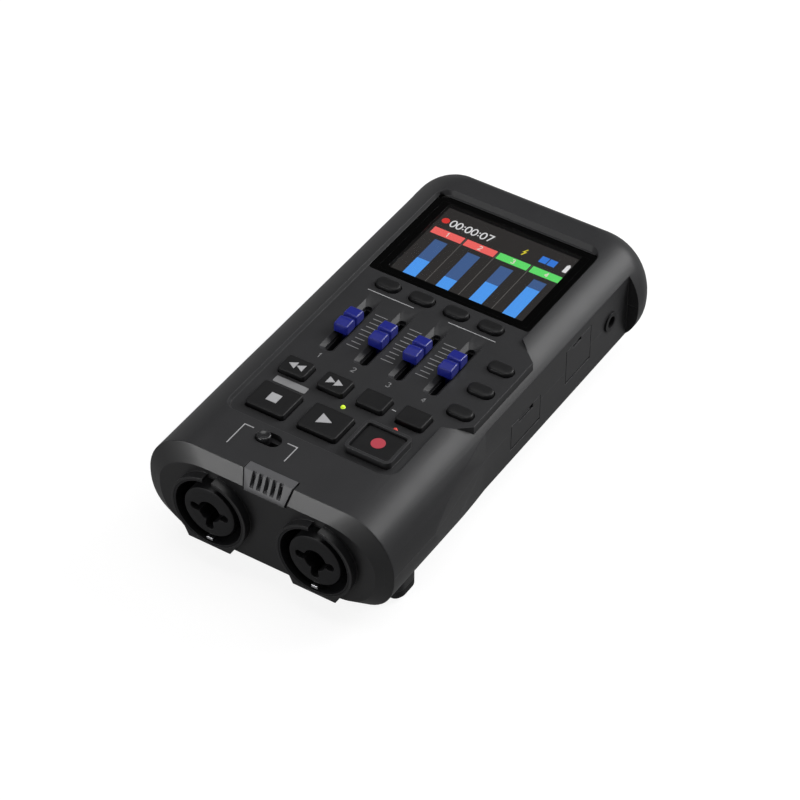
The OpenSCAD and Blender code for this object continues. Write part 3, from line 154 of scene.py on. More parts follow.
# Camera: solved from the jacks, whose real size is standard, the panel and the display. Its
# numbers are the bearing, the height angle, the roll, the focal length in picture widths and
# the place of the panel's front end against the lens, in millimetres.
MM = 0.001
PANEL_Y, PANEL_Z = -70.0, 35.8
BEARING, HEIGHT_ANGLE, ROLL = np.radians([32.3277485, 42.1455763, 0.339795182])
FOCAL_WIDTHS = 3251.12102 / 800
LENS_SHIFT = np.array([-35.1379453, -23.0003136, 815.086353])
SENSOR_WIDTH = 36.0
level = np.array([math.cos(BEARING), math.sin(BEARING), 0])
ahead = np.array([-math.sin(BEARING) * math.cos(HEIGHT_ANGLE),
                  math.cos(BEARING) * math.cos(HEIGHT_ANGLE), -math.sin(HEIGHT_ANGLE)])
plumb = np.cross(level, ahead)
right = math.cos(ROLL) * level + math.sin(ROLL) * plumb
above = -math.sin(ROLL) * level + math.cos(ROLL) * plumb
stand = np.array([0.0, PANEL_Y, PANEL_Z]) - LENS_SHIFT @ np.array([right, above, ahead])
camera_data = bpy.data.cameras.new("studio_camera")
camera_data.sensor_width = SENSOR_WIDTH
camera_data.lens = SENSOR_WIDTH * FOCAL_WIDTHS
camera_data.clip_start, camera_data.clip_end = 0.05, 30.0
camera = bpy.data.objects.new("studio_camera", camera_data)
camera.matrix_world = placed(right, above, -ahead, stand * MM)
scene.collection.objects.link(camera)
scene.camera = camera

# Case halves: two grey mouldings of filled plastic with a fine spark eroded skin, held
# by four screws from below. The CAD solids are kept, evenly shaded, with soft edges.


def group_tree(name, kind, sockets):
    """Node group with the named sockets, each given as (name, direction, socket type, value)."""
    made = bpy.data.node_groups.new(name, kind)
    for label, way, socket_type, value in sockets:
        socket = made.interface.new_socket(label, in_out=way, socket_type=socket_type)
        if value is not None:
            socket.default_value = value
    return made


def even_shading():
    """Geometry group: joins loose triangles, shades smooth and keeps edges over Angle crisp."""
    tree = group_tree("even_shading", "GeometryNodeTree", (
        ("Geometry", "INPUT", "NodeSocketGeometry", None),
        ("Angle", "INPUT", "NodeSocketFloat", 0.6),
        ("Geometry", "OUTPUT", "NodeSocketGeometry", None)))
    start = add_node(tree, "NodeGroupInput")
    bare = add_node(tree, "GeometryNodeRemoveAttribute", Name="custom_normal")
    joined = add_node(tree, "GeometryNodeMergeByDistance", Distance=2e-6)
    smooth = add_node(tree, "GeometryNodeSetShadeSmooth", Shade_Smooth=True)
    crisp = add_node(tree, "GeometryNodeSetShadeSmooth")
    crisp.domain = "EDGE"
    angle = add_node(tree, "GeometryNodeInputMeshEdgeAngle")
    flat = add_node(tree, "FunctionNodeCompare")
    flat.data_type, flat.operation = "FLOAT", "LESS_THAN"
    end = add_node(tree, "NodeGroupOutput")
    tree.links.new(start.outputs["Geometry"], bare.inputs["Geometry"])
    tree.links.new(bare.outputs["Geometry"], joined.inputs["Geometry"])
    tree.links.new(joined.outputs["Geometry"], smooth.inputs["Geometry"])
    tree.links.new(smooth.outputs["Geometry"], crisp.inputs["Geometry"])
    tree.links.new(angle.outputs["Unsigned Angle"], flat.inputs["A"])
    tree.links.new(start.outputs["Angle"], flat.inputs["B"])
    tree.links.new(flat.outputs["Result"], crisp.inputs["Shade Smooth"])
    tree.links.new(crisp.outputs["Geometry"], end.inputs["Geometry"])
    return tree


shading_group = even_shading()


def moulded_skin():
    """Shader group for a moulded skin: fine noise for the texture, fine and slow for the tone.

    The tone is fine plus slow noise less one. Colour is Tint times one plus Mottle times the
    tone, Roughness is Rough plus Spread times the tone, and Height is the fine noise itself.
    """
    tree = group_tree("moulded_skin", "ShaderNodeTree", (
        ("Tint", "INPUT", "NodeSocketColor", (0.1, 0.1, 0.1, 1)),
        ("Mottle", "INPUT", "NodeSocketFloat", 0.12),
        ("Rough", "INPUT", "NodeSocketFloat", 0.5),
        ("Spread", "INPUT", "NodeSocketFloat", 0.1),
        ("Grain", "INPUT", "NodeSocketFloat", 4000.0),
        ("Colour", "OUTPUT", "NodeSocketColor", None),
        ("Roughness", "OUTPUT", "NodeSocketFloat", None),
        ("Height", "OUTPUT", "NodeSocketFloat", None)))
    start = add_node(tree, "NodeGroupInput")
    end = add_node(tree, "NodeGroupOutput")
    place = add_node(tree, "ShaderNodeTexCoord")
    fine = add_node(tree, "ShaderNodeTexNoise", Detail=3.0, Roughness=0.6)
    slow = add_node(tree, "ShaderNodeTexNoise", Scale=90.0, Detail=4.0, Roughness=0.65)
    tree.links.new(place.outputs["Object"], fine.inputs["Vector"])
    tree.links.new(place.outputs["Object"], slow.inputs["Vector"])
    tree.links.new(start.outputs["Grain"], fine.inputs["Scale"])
    both = add_math(tree, "ADD", fine.outputs["Fac"], slow.outputs["Fac"])
    tone = add_math(tree, "SUBTRACT", both, 1.0)
    level = add_math(tree, "MULTIPLY_ADD", tone, start.outputs["Mottle"], 1.0)
    rough = add_math(tree, "MULTIPLY_ADD", tone, start.outputs["Spread"], start.outputs["Rough"])
    shade = add_node(tree, "ShaderNodeVectorMath")
    shade.operation = "SCALE"
    tree.links.new(start.outputs["Tint"], shade.inputs[0])
    tree.links.new(level, shade.inputs["Scale"])
    tree.links.new(shade.outputs[0], end.inputs["Colour"])
    tree.links.new(rough, end.inputs["Roughness"])
    tree.links.new(fine.outputs["Fac"], end.inputs["Height"])
    return tree


def soft_edge():
    """Shader group for edges that lighten, partly as wear and partly as a painted highlight: a
    normal rounded over Radius, and a mask of what it turned.

    The mask is one less the dot product of the rounded and the true normal, stretched by
    Gain, so it is zero on flats and grows at edges.
    """
    tree = group_tree("soft_edge", "ShaderNodeTree", (
        ("Radius", "INPUT", "NodeSocketFloat", 0.0002),
        ("Gain", "INPUT", "NodeSocketFloat", 2.5),
        ("Mask", "OUTPUT", "NodeSocketFloat", None),
        ("Normal", "OUTPUT", "NodeSocketVector", None)))
    start = add_node(tree, "NodeGroupInput")
    end = add_node(tree, "NodeGroupOutput")
    rounded = add_node(tree, "ShaderNodeBevel")
    rounded.samples = 4
    true = add_node(tree, "ShaderNodeNewGeometry")
    dot = add_node(tree, "ShaderNodeVectorMath")
    dot.operation = "DOT_PRODUCT"
    tree.links.new(start.outputs["Radius"], rounded.inputs["Radius"])
    tree.links.new(rounded.outputs["Normal"], dot.inputs[0])
    tree.links.new(true.outputs["Normal"], dot.inputs[1])
    lost = add_math(tree, "SUBTRACT", 1.0, dot.outputs["Value"])
    mask = add_math(tree, "MULTIPLY", lost, start.outputs["Gain"])
    mask.node.use_clamp = True
    tree.links.new(mask, end.inputs["Mask"])
    tree.links.new(rounded.outputs["Normal"], end.inputs["Normal"])
    return tree


skin_group = moulded_skin()
edge_group = soft_edge()
# Lighter edge colour is the tint times the gain plus the lift: partly wear, partly a painted
# highlight.
WEAR_HIGHLIGHT_GAIN, WEAR_HIGHLIGHT_LIFT = 2.2, 0.02
BUMP_STRENGTH = 0.6


def plain_material(name, **values):
    """New material, its tree and its Principled shader, with the shader's sockets set by name."""
    made = bpy.data.materials.new(name)
    made.use_nodes = True
    shader = made.node_tree.nodes["Principled BSDF"]
    for socket, value in values.items():
        shader.inputs[socket.replace("_", " ")].default_value = value
    return made, made.node_tree, shader


def add_group(tree, group, **values):
    """One use of a shader group in tree, its sockets set by name."""
    made = add_node(tree, "ShaderNodeGroup")
    made.node_tree = group
    for name, value in values.items():
        made.inputs[name].default_value = value
    return made


def moulding(name, tint, rough, gloss, grain=4200.0, depth=0.00002, mottle=0.14, wear_and_highlight=0.35,
             edge=0.00018, metal=0.0):
    """Material of one moulding or pressing: skin group for tone and texture, edge group for
    lighter edges, partly wear and partly a painted highlight.

    The grain counts the noise's waves in a metre. The depth and the edge radius are in metres.
    """
    made, tree, shader = plain_material(name, Specular_IOR_Level=gloss, Metallic=metal)
    skin = add_group(tree, skin_group, Tint=(*tint, 1), Mottle=mottle, Rough=rough, Grain=grain)
    edges = add_group(tree, edge_group, Radius=edge)
    bump = add_node(tree, "ShaderNodeBump", Strength=BUMP_STRENGTH, Distance=depth)
    # Colours of a Mix node are its inputs 6 and 7, and its output 2.
    # The edge mask lightens the colour at edges, partly as wear and partly as a painted highlight
    # on their rounding.
    worn_and_highlit = add_node(tree, "ShaderNodeMix")
    worn_and_highlit.data_type = "RGBA"
    worn_and_highlit.inputs[7].default_value = (*(min(1.0, WEAR_HIGHLIGHT_GAIN * c + WEAR_HIGHLIGHT_LIFT) for c in tint), 1)
    tree.links.new(add_math(tree, "MULTIPLY", edges.outputs["Mask"], wear_and_highlight), worn_and_highlit.inputs[0])
    tree.links.new(skin.outputs["Colour"], worn_and_highlit.inputs[6])
    tree.links.new(worn_and_highlit.outputs[2], shader.inputs["Base Color"])
    tree.links.new(skin.outputs["Roughness"], shader.inputs["Roughness"])
    tree.links.new(skin.outputs["Height"], bump.inputs["Height"])
    tree.links.new(edges.outputs["Normal"], bump.inputs["Normal"])
    tree.links.new(bump.outputs["Normal"], shader.inputs["Normal"])
    return made


def dress(node_names, material, angle=0.5):
    """Gives CAD nodes one material, and evens their shading up to that edge angle."""
    for node_name in node_names:
        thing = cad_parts[node_name]
        thing.data.materials.clear()
        thing.data.materials.append(material)
        even = thing.modifiers.new("even_shading", "NODES")
        even.node_group = shading_group
        # Socket_1 is the group's Angle.
        even["Socket_1"] = angle
        weigh = thing.modifiers.new("weighted", "WEIGHTED_NORMAL")
        weigh.keep_sharp = True


CASE_PIECES = ("upper_case", "lower_case", "front_legs", "cell_tray", "data_hatch", "card_hatch",
               "battery_cover")
# Its strong edge lightening is partly wear and partly a painted highlight along the rims.
case_grey = moulding("case_grey", (0.026, 0.026, 0.0273), 0.38, 0.20, wear_and_highlight=0.9, edge=0.00025)
dress(CASE_PIECES, case_grey)

# Front end: a darker plate with a chamfer all round and two raised jack collars. It is
# clipped into the open end of the case halves, and takes the same fine texture as they do.
# The chamfer meets the face at a low angle, so edges stay crisp from a lower angle here.
FRONT_CRISP = 0.3
front_dark = moulding("front_dark", (0.006, 0.006, 0.0066), 0.36, 0.50, wear_and_highlight=0.8)
dress(("front_panel",), front_dark, angle=FRONT_CRISP)

# Microphone grille: a light grey moulding with slots, pushed into a cut in the chamfer.
# Two plated capsules sit behind it.
grille_grey = moulding("grille_grey", (0.090, 0.090, 0.094), 0.38, 0.25)
dress(("mic_grille",), grille_grey)

# Jacks: a black tube with a latch notch at the top, and a round core with a plug hole
# whose three lobes take the pins of a larger plug. A plated tab in the groove earths it.


def skin_of(rings):
    """Closed skin over rings: points (m, n, 3), quads between neighbours, ends capped."""
    m, n = rings.shape[:2]
    i, j = np.arange(m - 1)[:, None] * n, np.arange(n)[None, :]
    k = (j + 1) % n
    quads = np.stack([i + j, i + k, i + n + k, i + n + j], -1).reshape(-1, 4)
    caps = [np.arange(n)[::-1].tolist(), ((m - 1) * n + np.arange(n)).tolist()]
    return rings.reshape(-1, 3), quads.tolist() + caps


def tube_of(rings):
    """Closed skin over rings of which the last joins the first: points (m, n, 3), all quads."""
    m, n = rings.shape[:2]
    i, j = np.arange(m)[:, None], np.arange(n)[None, :]
    up, over = (i + 1) % m, (j + 1) % n
    quads = np.stack([i * n + j, i * n + over, up * n + over, up * n + j], -1)
    return rings.reshape(-1, 3), quads.reshape(-1, 4).tolist()


def piece(name, skins, material, body="base", stands_for=(), crisp=0.6):
    """One object from closed skins in millimetres, shaded smooth but for edges over crisp."""
    points, faces, count = [], [], 0
    for part_points, part_faces in skins:
        points.append(part_points)
        faces += [[count + v for v in face] for face in part_faces]
        count += len(part_points)
    mesh = bpy.data.meshes.new(name)
    mesh.from_pydata((np.concatenate(points) * MM).tolist(), [], faces)
    mesh.polygons.foreach_set("use_smooth", np.ones(len(mesh.polygons), bool))
    mesh.set_sharp_from_angle(angle=crisp)
    mesh.materials.append(material)
    made = bpy.data.objects.new(name, mesh)
    scene.collection.objects.link(made)
    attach(made, body)
    if stands_for:
        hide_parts(*stands_for)


JACK_X, JACK_Z = 16.2, 20.1
CORE_FACE_Y, CORE_BACK_Y = -70.0, -56.5
CORE_R, PLUG_R, LOBE_R, LOBE_REACH = 7.8, 3.25, 1.25, 4.6
RIM_ROUND, RIM_STEP, LIP_ROUND = 0.4, 0.12, 0.15


def core_skin(x):
    """Jack core as rings about its axis: ring k has the radius of the wall it lies on.

    The outer wall and rounded rim are circles. The hole is the farthest of the plug circle
    and three lobe circles seen from the axis, so its radius depends on the angle.
    """
    angle = np.linspace(0, 2 * np.pi, 120, endpoint=False)
    hole = np.full_like(angle, PLUG_R)
    for lobe in np.radians([0, 180, 270]):
        off = angle - lobe
        inside = LOBE_R**2 - (LOBE_REACH * np.sin(off))**2
        reach = LOBE_REACH * np.cos(off) + np.sqrt(np.maximum(inside, 0))
        hole = np.maximum(hole, np.where((inside > 0) & (np.cos(off) > 0), reach, 0))
    full = np.full_like(angle, CORE_R)
    radius = np.stack([hole, hole, hole + LIP_ROUND, 0.5 * (full + hole), full - RIM_ROUND,
                       full - RIM_STEP, full, full])
    along = np.array([CORE_BACK_Y, CORE_FACE_Y + LIP_ROUND, CORE_FACE_Y, CORE_FACE_Y, CORE_FACE_Y,
                      CORE_FACE_Y + RIM_STEP, CORE_FACE_Y + RIM_ROUND, CORE_BACK_Y])
    return tube_of(np.stack([
        x + radius * np.cos(angle), np.repeat(along[:, None], angle.size, 1),
        JACK_Z + radius * np.sin(angle)], -1))


def block_skin(low, high):
    """Rectangular block between two corners, as two rings of four points."""
    (x0, y0, z0), (x1, y1, z1) = low, high
    ring = np.array([[x0, y0], [x1, y0], [x1, y1], [x0, y1]])
    return skin_of(np.stack([np.c_[ring, np.full(4, z)] for z in (z0, z1)]))


# Under each core lies an earth tab with a lip bent down in front; the tab's heights are
# taken down from the jack's axis.
TAB_HALF, TAB_TOP, TAB_FOOT, LIP_FOOT = 0.9, 8.7, 9.1, 9.5
LIP_Y, TAB_FRONT_Y, TAB_BACK_Y = -70.3, -70.1, -60.0
jack_black = moulding("jack_black", (0.010, 0.010, 0.0108), 0.40, 0.18, wear_and_highlight=0.6)
plated_steel = moulding("plated_steel", (0.62, 0.62, 0.64), 0.28, 0.5, grain=2500.0,
                        depth=0.000005, mottle=0.1, wear_and_highlight=0.1, metal=1.0)
dress(("jack_shell_a", "jack_shell_b", "line_socket", "phones_socket"), jack_black)
dress(("fader_bodies", "input_toggle_base", "power_toggle_base", "volume_base", "dial_base"),
      jack_black)
for letter, jack_x in (("a", -JACK_X), ("b", JACK_X)):
    piece("jack_core_form_" + letter, [core_skin(jack_x)], jack_black,
          stands_for=("jack_core_" + letter,))
    x0, x1, top = jack_x - TAB_HALF, jack_x + TAB_HALF, JACK_Z - TAB_TOP
    piece("jack_earth_tab_" + letter, [
        block_skin((x0, TAB_FRONT_Y, JACK_Z - TAB_FOOT), (x1, TAB_BACK_Y, top)),
        block_skin((x0, LIP_Y, JACK_Z - LIP_FOOT), (x1, TAB_FRONT_Y, top))],
        plated_steel)

# Inner pieces: boards, switches, sockets and contacts that show only through the openings
# or with a cover open. They keep their CAD shapes and take plain workshop finishes.
board_green = moulding("board_green", (0.012, 0.09, 0.04), 0.35, 0.5, grain=900.0,
                       depth=0.00001, wear_and_highlight=0.1)
cell_wrap = moulding("cell_wrap", (0.05, 0.18, 0.11), 0.30, 0.5, grain=600.0,
                     depth=0.000004, wear_and_highlight=0.1)
bush_brass = moulding("bush_brass", (0.65, 0.45, 0.18), 0.30, 0.5, grain=1800.0,
                      depth=0.000005, wear_and_highlight=0.1, metal=1.0)
foot_rubber = moulding("foot_rubber", (0.012, 0.012, 0.012), 0.70, 0.30, grain=2600.0,
                       depth=0.00004)
display_black = moulding("display_black", (0.006, 0.006, 0.006), 0.30, 0.4, depth=0.000003,
                         wear_and_highlight=0.1)
# Their strong edge lightening is partly wear and partly a painted highlight on the cap edges.
key_black = moulding("key_black", (0.0085, 0.0085, 0.009), 0.40, 0.20, wear_and_highlight=0.9)
dress(("main_board", "jack_board"), board_green)
dress(("cell_1", "cell_2"), cell_wrap)
dress(("tripod_bush",), bush_brass)
dress(("feet",), foot_rubber)
dress(("display_module",), display_black)
dress(("power_toggle", "volume_wheel", "select_dial"), key_black)
dress(("mic_capsules", "key_switches", "data_socket", "card_socket", "cell_contacts",
       "case_screws"), plated_steel)

# Display: a lit colour panel behind a clear window that lies flush in the control panel.
# The picture shows a running clock, four channel bars and four level columns.


def pixel_rows():
    """Shader group for lit pixels: the colour dims a little in every other cell of a chequer."""
    tree = group_tree("pixel_rows", "ShaderNodeTree", (
        ("Lit", "INPUT", "NodeSocketColor", (1, 1, 1, 1)),
        ("Pitch", "INPUT", "NodeSocketFloat", 7500.0),
        ("Colour", "OUTPUT", "NodeSocketColor", None)))
    start = add_node(tree, "NodeGroupInput")
    end = add_node(tree, "NodeGroupOutput")
    place = add_node(tree, "ShaderNodeTexCoord")
    cells = add_node(tree, "ShaderNodeTexChecker", Color1=(1, 1, 1, 1),
                     Color2=(0.93, 0.93, 0.93, 1))
    lit = add_node(tree, "ShaderNodeVectorMath")
    lit.operation = "MULTIPLY"
    tree.links.new(place.outputs["Object"], cells.inputs["Vector"])
    tree.links.new(start.outputs["Pitch"], cells.inputs["Scale"])
    tree.links.new(start.outputs["Lit"], lit.inputs[0])
    tree.links.new(cells.outputs["Color"], lit.inputs[1])
    tree.links.new(lit.outputs[0], end.inputs["Colour"])
    return tree


pixel_group = pixel_rows()
UNLIT_SHARE = 0.02


def linear(*levels):
    """Display levels of 0 to 255 as linear light."""
    share = np.array(levels) / 255
    curve = ((share + 0.055) / 1.055) ** 2.4
    return tuple(np.where(share < 0.04045, share / 12.92, curve).tolist())


def lit_pixels(name, colour):
    """Material of one lit area of the display."""
    made, tree, shader = plain_material(name, Roughness=0.5, Specular_IOR_Level=0.0,
                                        Emission_Strength=1.0)
    rows = add_group(tree, pixel_group, Lit=(*colour, 1))
    dim = add_node(tree, "ShaderNodeVectorMath")
    dim.operation = "SCALE"
    dim.inputs["Scale"].default_value = UNLIT_SHARE
    tree.links.new(rows.outputs["Colour"], shader.inputs["Emission Color"])
    tree.links.new(rows.outputs["Colour"], dim.inputs[0])
    tree.links.new(dim.outputs[0], shader.inputs["Base Color"])
    return made


def plate_skin(outline, z0, z1):
    """Flat plate: one outline (n, 2) carried from height z0 to z1."""
    return skin_of(np.stack([np.c_[outline, np.full(len(outline), z)] for z in (z0, z1)]))


def box_outline(x0, x1, y0, y1):
    """Corners of a rectangle, turning left."""
    return np.array([[x0, y0], [x1, y0], [x1, y1], [x0, y1]])


def disc_outline(x, y, r, n=40):
    """Circle of n points about x, y."""
    angle = np.linspace(0, 2 * np.pi, n, endpoint=False)
    return np.c_[x + r * np.cos(angle), y + r * np.sin(angle)]


def ribbon_skin(path, width, z0, z1, loop=False):
    """Flat band of one width along a path (n, 2), mitred at its corners, from z0 to z1.

    Each corner moves out by half the width along the sum of its two edge normals, divided
    by one plus their dot product.
    """
    path = np.asarray(path, float)
    step = np.diff(np.r_[path, path[:1]] if loop else path, axis=0)
    normal = np.c_[-step[:, 1], step[:, 0]] / np.linalg.norm(step, axis=1)[:, None]
    before = np.roll(normal, 1, 0) if loop else np.r_[normal[:1], normal]
    after = normal if loop else np.r_[normal, normal[-1:]]
    mitre = (before + after) / (1 + (before * after).sum(1, keepdims=True))
    left, far = path + mitre * width / 2, path - mitre * width / 2
    sides = ((far, z0), (far, z1), (left, z1), (left, z0))
    rings = np.stack([np.c_[side, np.full(len(path), z)] for side, z in sides], 1)[:, ::-1]
    return tube_of(rings) if loop else skin_of(rings)


OVAL = np.linspace(0, 2 * np.pi, 21)[:-1]
DIGIT_PATHS = {
    "0": ([np.c_[0.5 + 0.5 * np.cos(OVAL), 0.5 + 0.5 * np.sin(OVAL)]], True),
    "1": ([[[0.2, 0.8], [0.55, 1.0], [0.55, 0.0]]], False),
    "2": ([[[0.02, 0.78], [0.15, 0.95], [0.5, 1.0], [0.85, 0.93], [0.95, 0.72], [0.8, 0.5],
            [0.0, 0.0], [1.0, 0.0]]], False),
    "3": ([[[0.03, 0.85], [0.25, 1.0], [0.7, 1.0], [0.92, 0.8], [0.8, 0.58], [0.5, 0.52]],
           [[0.5, 0.52], [0.85, 0.45], [0.98, 0.25], [0.75, 0.02], [0.3, 0.0], [0.0, 0.15]]],
          False),
    "4": ([[[0.75, 0.0], [0.75, 1.05]], [[0.75, 1.0], [0.0, 0.3]], [[-0.05, 0.3], [1.0, 0.3]]],
          False),
    "7": ([[[0.0, 1.0], [1.0, 1.0], [0.4, 0.0]]], False),
    ":": ([[[0.5, 0.62], [0.5, 0.78]], [[0.5, 0.16], [0.5, 0.32]]], False),
}


def digit_skins(sign, x, y, wide, tall, stroke, z0, z1):
    """One figure as bands: its paths on a unit square, stretched to wide by tall at x, y."""
    paths, loop = DIGIT_PATHS[sign]
    return [ribbon_skin(np.asarray(path) * (wide, tall) + (x, y), stroke, z0, z1, loop)
            for path in paths]


def picture_part(name, skins, colour):
    """One lit area of the picture, fixed to the case."""
    piece(name, skins, lit_pixels(name + "_light", linear(*colour)))


def screen_plates(edges):
    """Plates on the picture's ground from rectangles given as x0, x1, y0, y1."""
    return [plate_skin(box_outline(*edge), GROUND_TOP, INK_TOP) for edge in edges]


# The picture lies in three thin layers: ground, ink, and the figures on the channel bars.
PICTURE_Z, LAYER = 33.40, 0.03
GROUND_TOP = PICTURE_Z + LAYER
INK_TOP = GROUND_TOP + LAYER
PICTURE_HALF, PICTURE_LOW, PICTURE_HIGH = 21.2, PANEL_Y + 92.4, PANEL_Y + 124.2
picture_part("picture_ground", [plate_skin(
    box_outline(-PICTURE_HALF, PICTURE_HALF, PICTURE_LOW, PICTURE_HIGH), PICTURE_Z, GROUND_TOP)],
    (50, 48, 47))

# Four channels: a bar, a level column under it and a divider on its right.
BAR_LEFT, BAR_PITCH, BAR_WIDE = -20.24, 10.52, 9.72
BAR_LOW, BAR_HIGH = PANEL_Y + 112.36, PANEL_Y + 115.16
COLUMN_LEFT, COLUMN_WIDE = 2.89, 4.0
COLUMN_LOW, COLUMN_HIGH = PANEL_Y + 92.8, PANEL_Y + 110.45
COLUMN_LEVELS = np.array((0.48, 0.32, 0.55, 0.79))
DIVIDER_LEFT, DIVIDER_RIGHT = 10.04, 10.20
bar_x = BAR_LEFT + BAR_PITCH * np.arange(4)
column_x = bar_x + COLUMN_LEFT
level_y = COLUMN_LOW + (COLUMN_HIGH - COLUMN_LOW) * COLUMN_LEVELS
picture_part("picture_bars_armed", screen_plates(
    [(x, x + BAR_WIDE, BAR_LOW, BAR_HIGH) for x in bar_x[:2]]), (255, 110, 105))
picture_part("picture_bars_ready", screen_plates(
    [(x, x + BAR_WIDE, BAR_LOW, BAR_HIGH) for x in bar_x[2:]]), (105, 235, 115))
picture_part("picture_columns_low", screen_plates(
    [(x, x + COLUMN_WIDE, COLUMN_LOW, y) for x, y in zip(column_x, level_y)]), (85, 165, 255))
picture_part("picture_columns_high", screen_plates(
    [(x, x + COLUMN_WIDE, y, COLUMN_HIGH) for x, y in zip(column_x, level_y)]), (70, 100, 150))
picture_part("picture_dividers", screen_plates(
    [(x + DIVIDER_LEFT, x + DIVIDER_RIGHT, COLUMN_LOW, BAR_HIGH) for x in bar_x[:3]]),
    (105, 103, 100))

# Status row over the bars: a running clock, a red dot, a bolt, two slots and a cell.
CLOCK_X, CLOCK_Y, CLOCK_TALL, CLOCK_STROKE = -17.3, PANEL_Y + 117.4, 2.7, 0.40
FIGURE_WIDE, COLON_WIDE, FIGURE_GAP = 1.5, 0.5, 0.45
clock_skins, clock_x = [], CLOCK_X
for sign in "00:00:07":
    wide = COLON_WIDE if sign == ":" else FIGURE_WIDE
    clock_skins += digit_skins(sign, clock_x, CLOCK_Y, wide, CLOCK_TALL, CLOCK_STROKE,
                               GROUND_TOP, INK_TOP)
    clock_x += wide + FIGURE_GAP
picture_part("picture_clock", clock_skins, (235, 235, 235))
DOT_X, DOT_Y, DOT_R = -19.1, PANEL_Y + 118.8, 1.15
picture_part("picture_armed_dot", [plate_skin(
    disc_outline(DOT_X, DOT_Y, DOT_R), GROUND_TOP, INK_TOP)], (225, 60, 55))
STATUS_LOW, STATUS_MIDDLE, STATUS_HIGH = PANEL_Y + 117.5, PANEL_Y + 118.9, PANEL_Y + 120.2
BOLT_LEFT, BOLT_RIGHT, BOLT_STROKE = 5.9, 6.6, 0.35
bolt_path = [[BOLT_RIGHT, STATUS_HIGH], [BOLT_LEFT, STATUS_MIDDLE],
             [BOLT_RIGHT, STATUS_MIDDLE], [BOLT_LEFT, STATUS_LOW]]
picture_part("picture_bolt", [ribbon_skin(bolt_path, BOLT_STROKE, GROUND_TOP, INK_TOP)],
             (235, 220, 60))
SLOT_LEFTS, SLOT_WIDE = (11.3, 13.9), 2.3
picture_part("picture_slots", screen_plates(
    [(x, x + SLOT_WIDE, STATUS_LOW, STATUS_HIGH) for x in SLOT_LEFTS]), (60, 130, 230))
CELL_FOOT, CELL_SHOULDER, CELL_TOP = PANEL_Y + 117.2, PANEL_Y + 120.3, PANEL_Y + 120.7
picture_part("picture_power", screen_plates(
    [(18.9, 20.1, CELL_FOOT, CELL_SHOULDER), (19.2, 19.8, CELL_SHOULDER, CELL_TOP)]),
    (240, 240, 240))
BAR_FIGURE_WIDE, BAR_FIGURE_TALL, BAR_FIGURE_STROKE, BAR_FIGURE_UP = 0.9, 1.6, 0.26, 0.6
bar_figures = []
for figure_x, sign in zip(bar_x + BAR_WIDE / 2 - BAR_FIGURE_WIDE / 2, "1234"):
    bar_figures += digit_skins(sign, figure_x, BAR_LOW + BAR_FIGURE_UP, BAR_FIGURE_WIDE,
                               BAR_FIGURE_TALL, BAR_FIGURE_STROKE, INK_TOP, INK_TOP + LAYER)
picture_part("picture_bar_figures", bar_figures, (240, 225, 215))

window_glass, glass_tree, glass_shader = plain_material(
    "window_glass", Base_Color=(0.92, 0.92, 0.93, 1), Transmission_Weight=1.0, IOR=1.45)
smear = add_group(glass_tree, skin_group, Rough=0.03, Spread=0.03, Grain=60.0)
glass_tree.links.new(smear.outputs["Roughness"], glass_shader.inputs["Roughness"])
dress(("display_window",), window_glass)

# Keys: black caps with a soft edge, standing in openings of the panel over push switches.
# Five of the transport keys carry a printed sign.


def cap_rings(x, y, wide, long, corner, insets, heights, n=9):
    """Rounded rectangles drawn in by insets at heights, as rings of 4n points turning left.

    A ring is four quarter circles of the corner radius less the inset, no smaller than a
    twentieth of a millimetre, about centres that far in from the drawn-in sides.
    """
    insets, heights = np.asarray(insets, float)[:, None], np.asarray(heights, float)[:, None]
    radius = np.maximum(corner - insets, 0.05)
    angle = (np.linspace(0, np.pi / 2, n)[None, :] + np.pi / 2 * np.arange(4)[:, None]).ravel()
    sign_x, sign_y = np.repeat([1, -1, -1, 1], n), np.repeat([1, 1, -1, -1], n)
    xs = x + sign_x * (wide / 2 - insets - radius) + radius * np.cos(angle)
    ys = y + sign_y * (long / 2 - insets - radius) + radius * np.sin(angle)
    return np.stack([xs, ys, np.broadcast_to(heights, xs.shape)], -1)


KEY_FOOT = PANEL_Z - 2.6
DISH_SHARE = 0.8


def key_skin(x, y, wide, long, corner, up, edge, dish):
    """Key cap: straight wall, quarter round edge, and a top that sinks by dish to the middle."""
    top = PANEL_Z + up
    turn = np.linspace(0, np.pi / 2, 7)
    reach = min(wide, long) / 2
    inner = np.linspace(edge, reach * DISH_SHARE, 5)[1:]
    insets = np.r_[0, edge * (1 - np.cos(turn)), inner]
    heights = np.r_[KEY_FOOT, top - edge + edge * np.sin(turn),
                    top - dish * (1 - (1 - inner / reach) ** 2)]
    return skin_of(cap_rings(x, y, wide, long, corner, insets, heights))


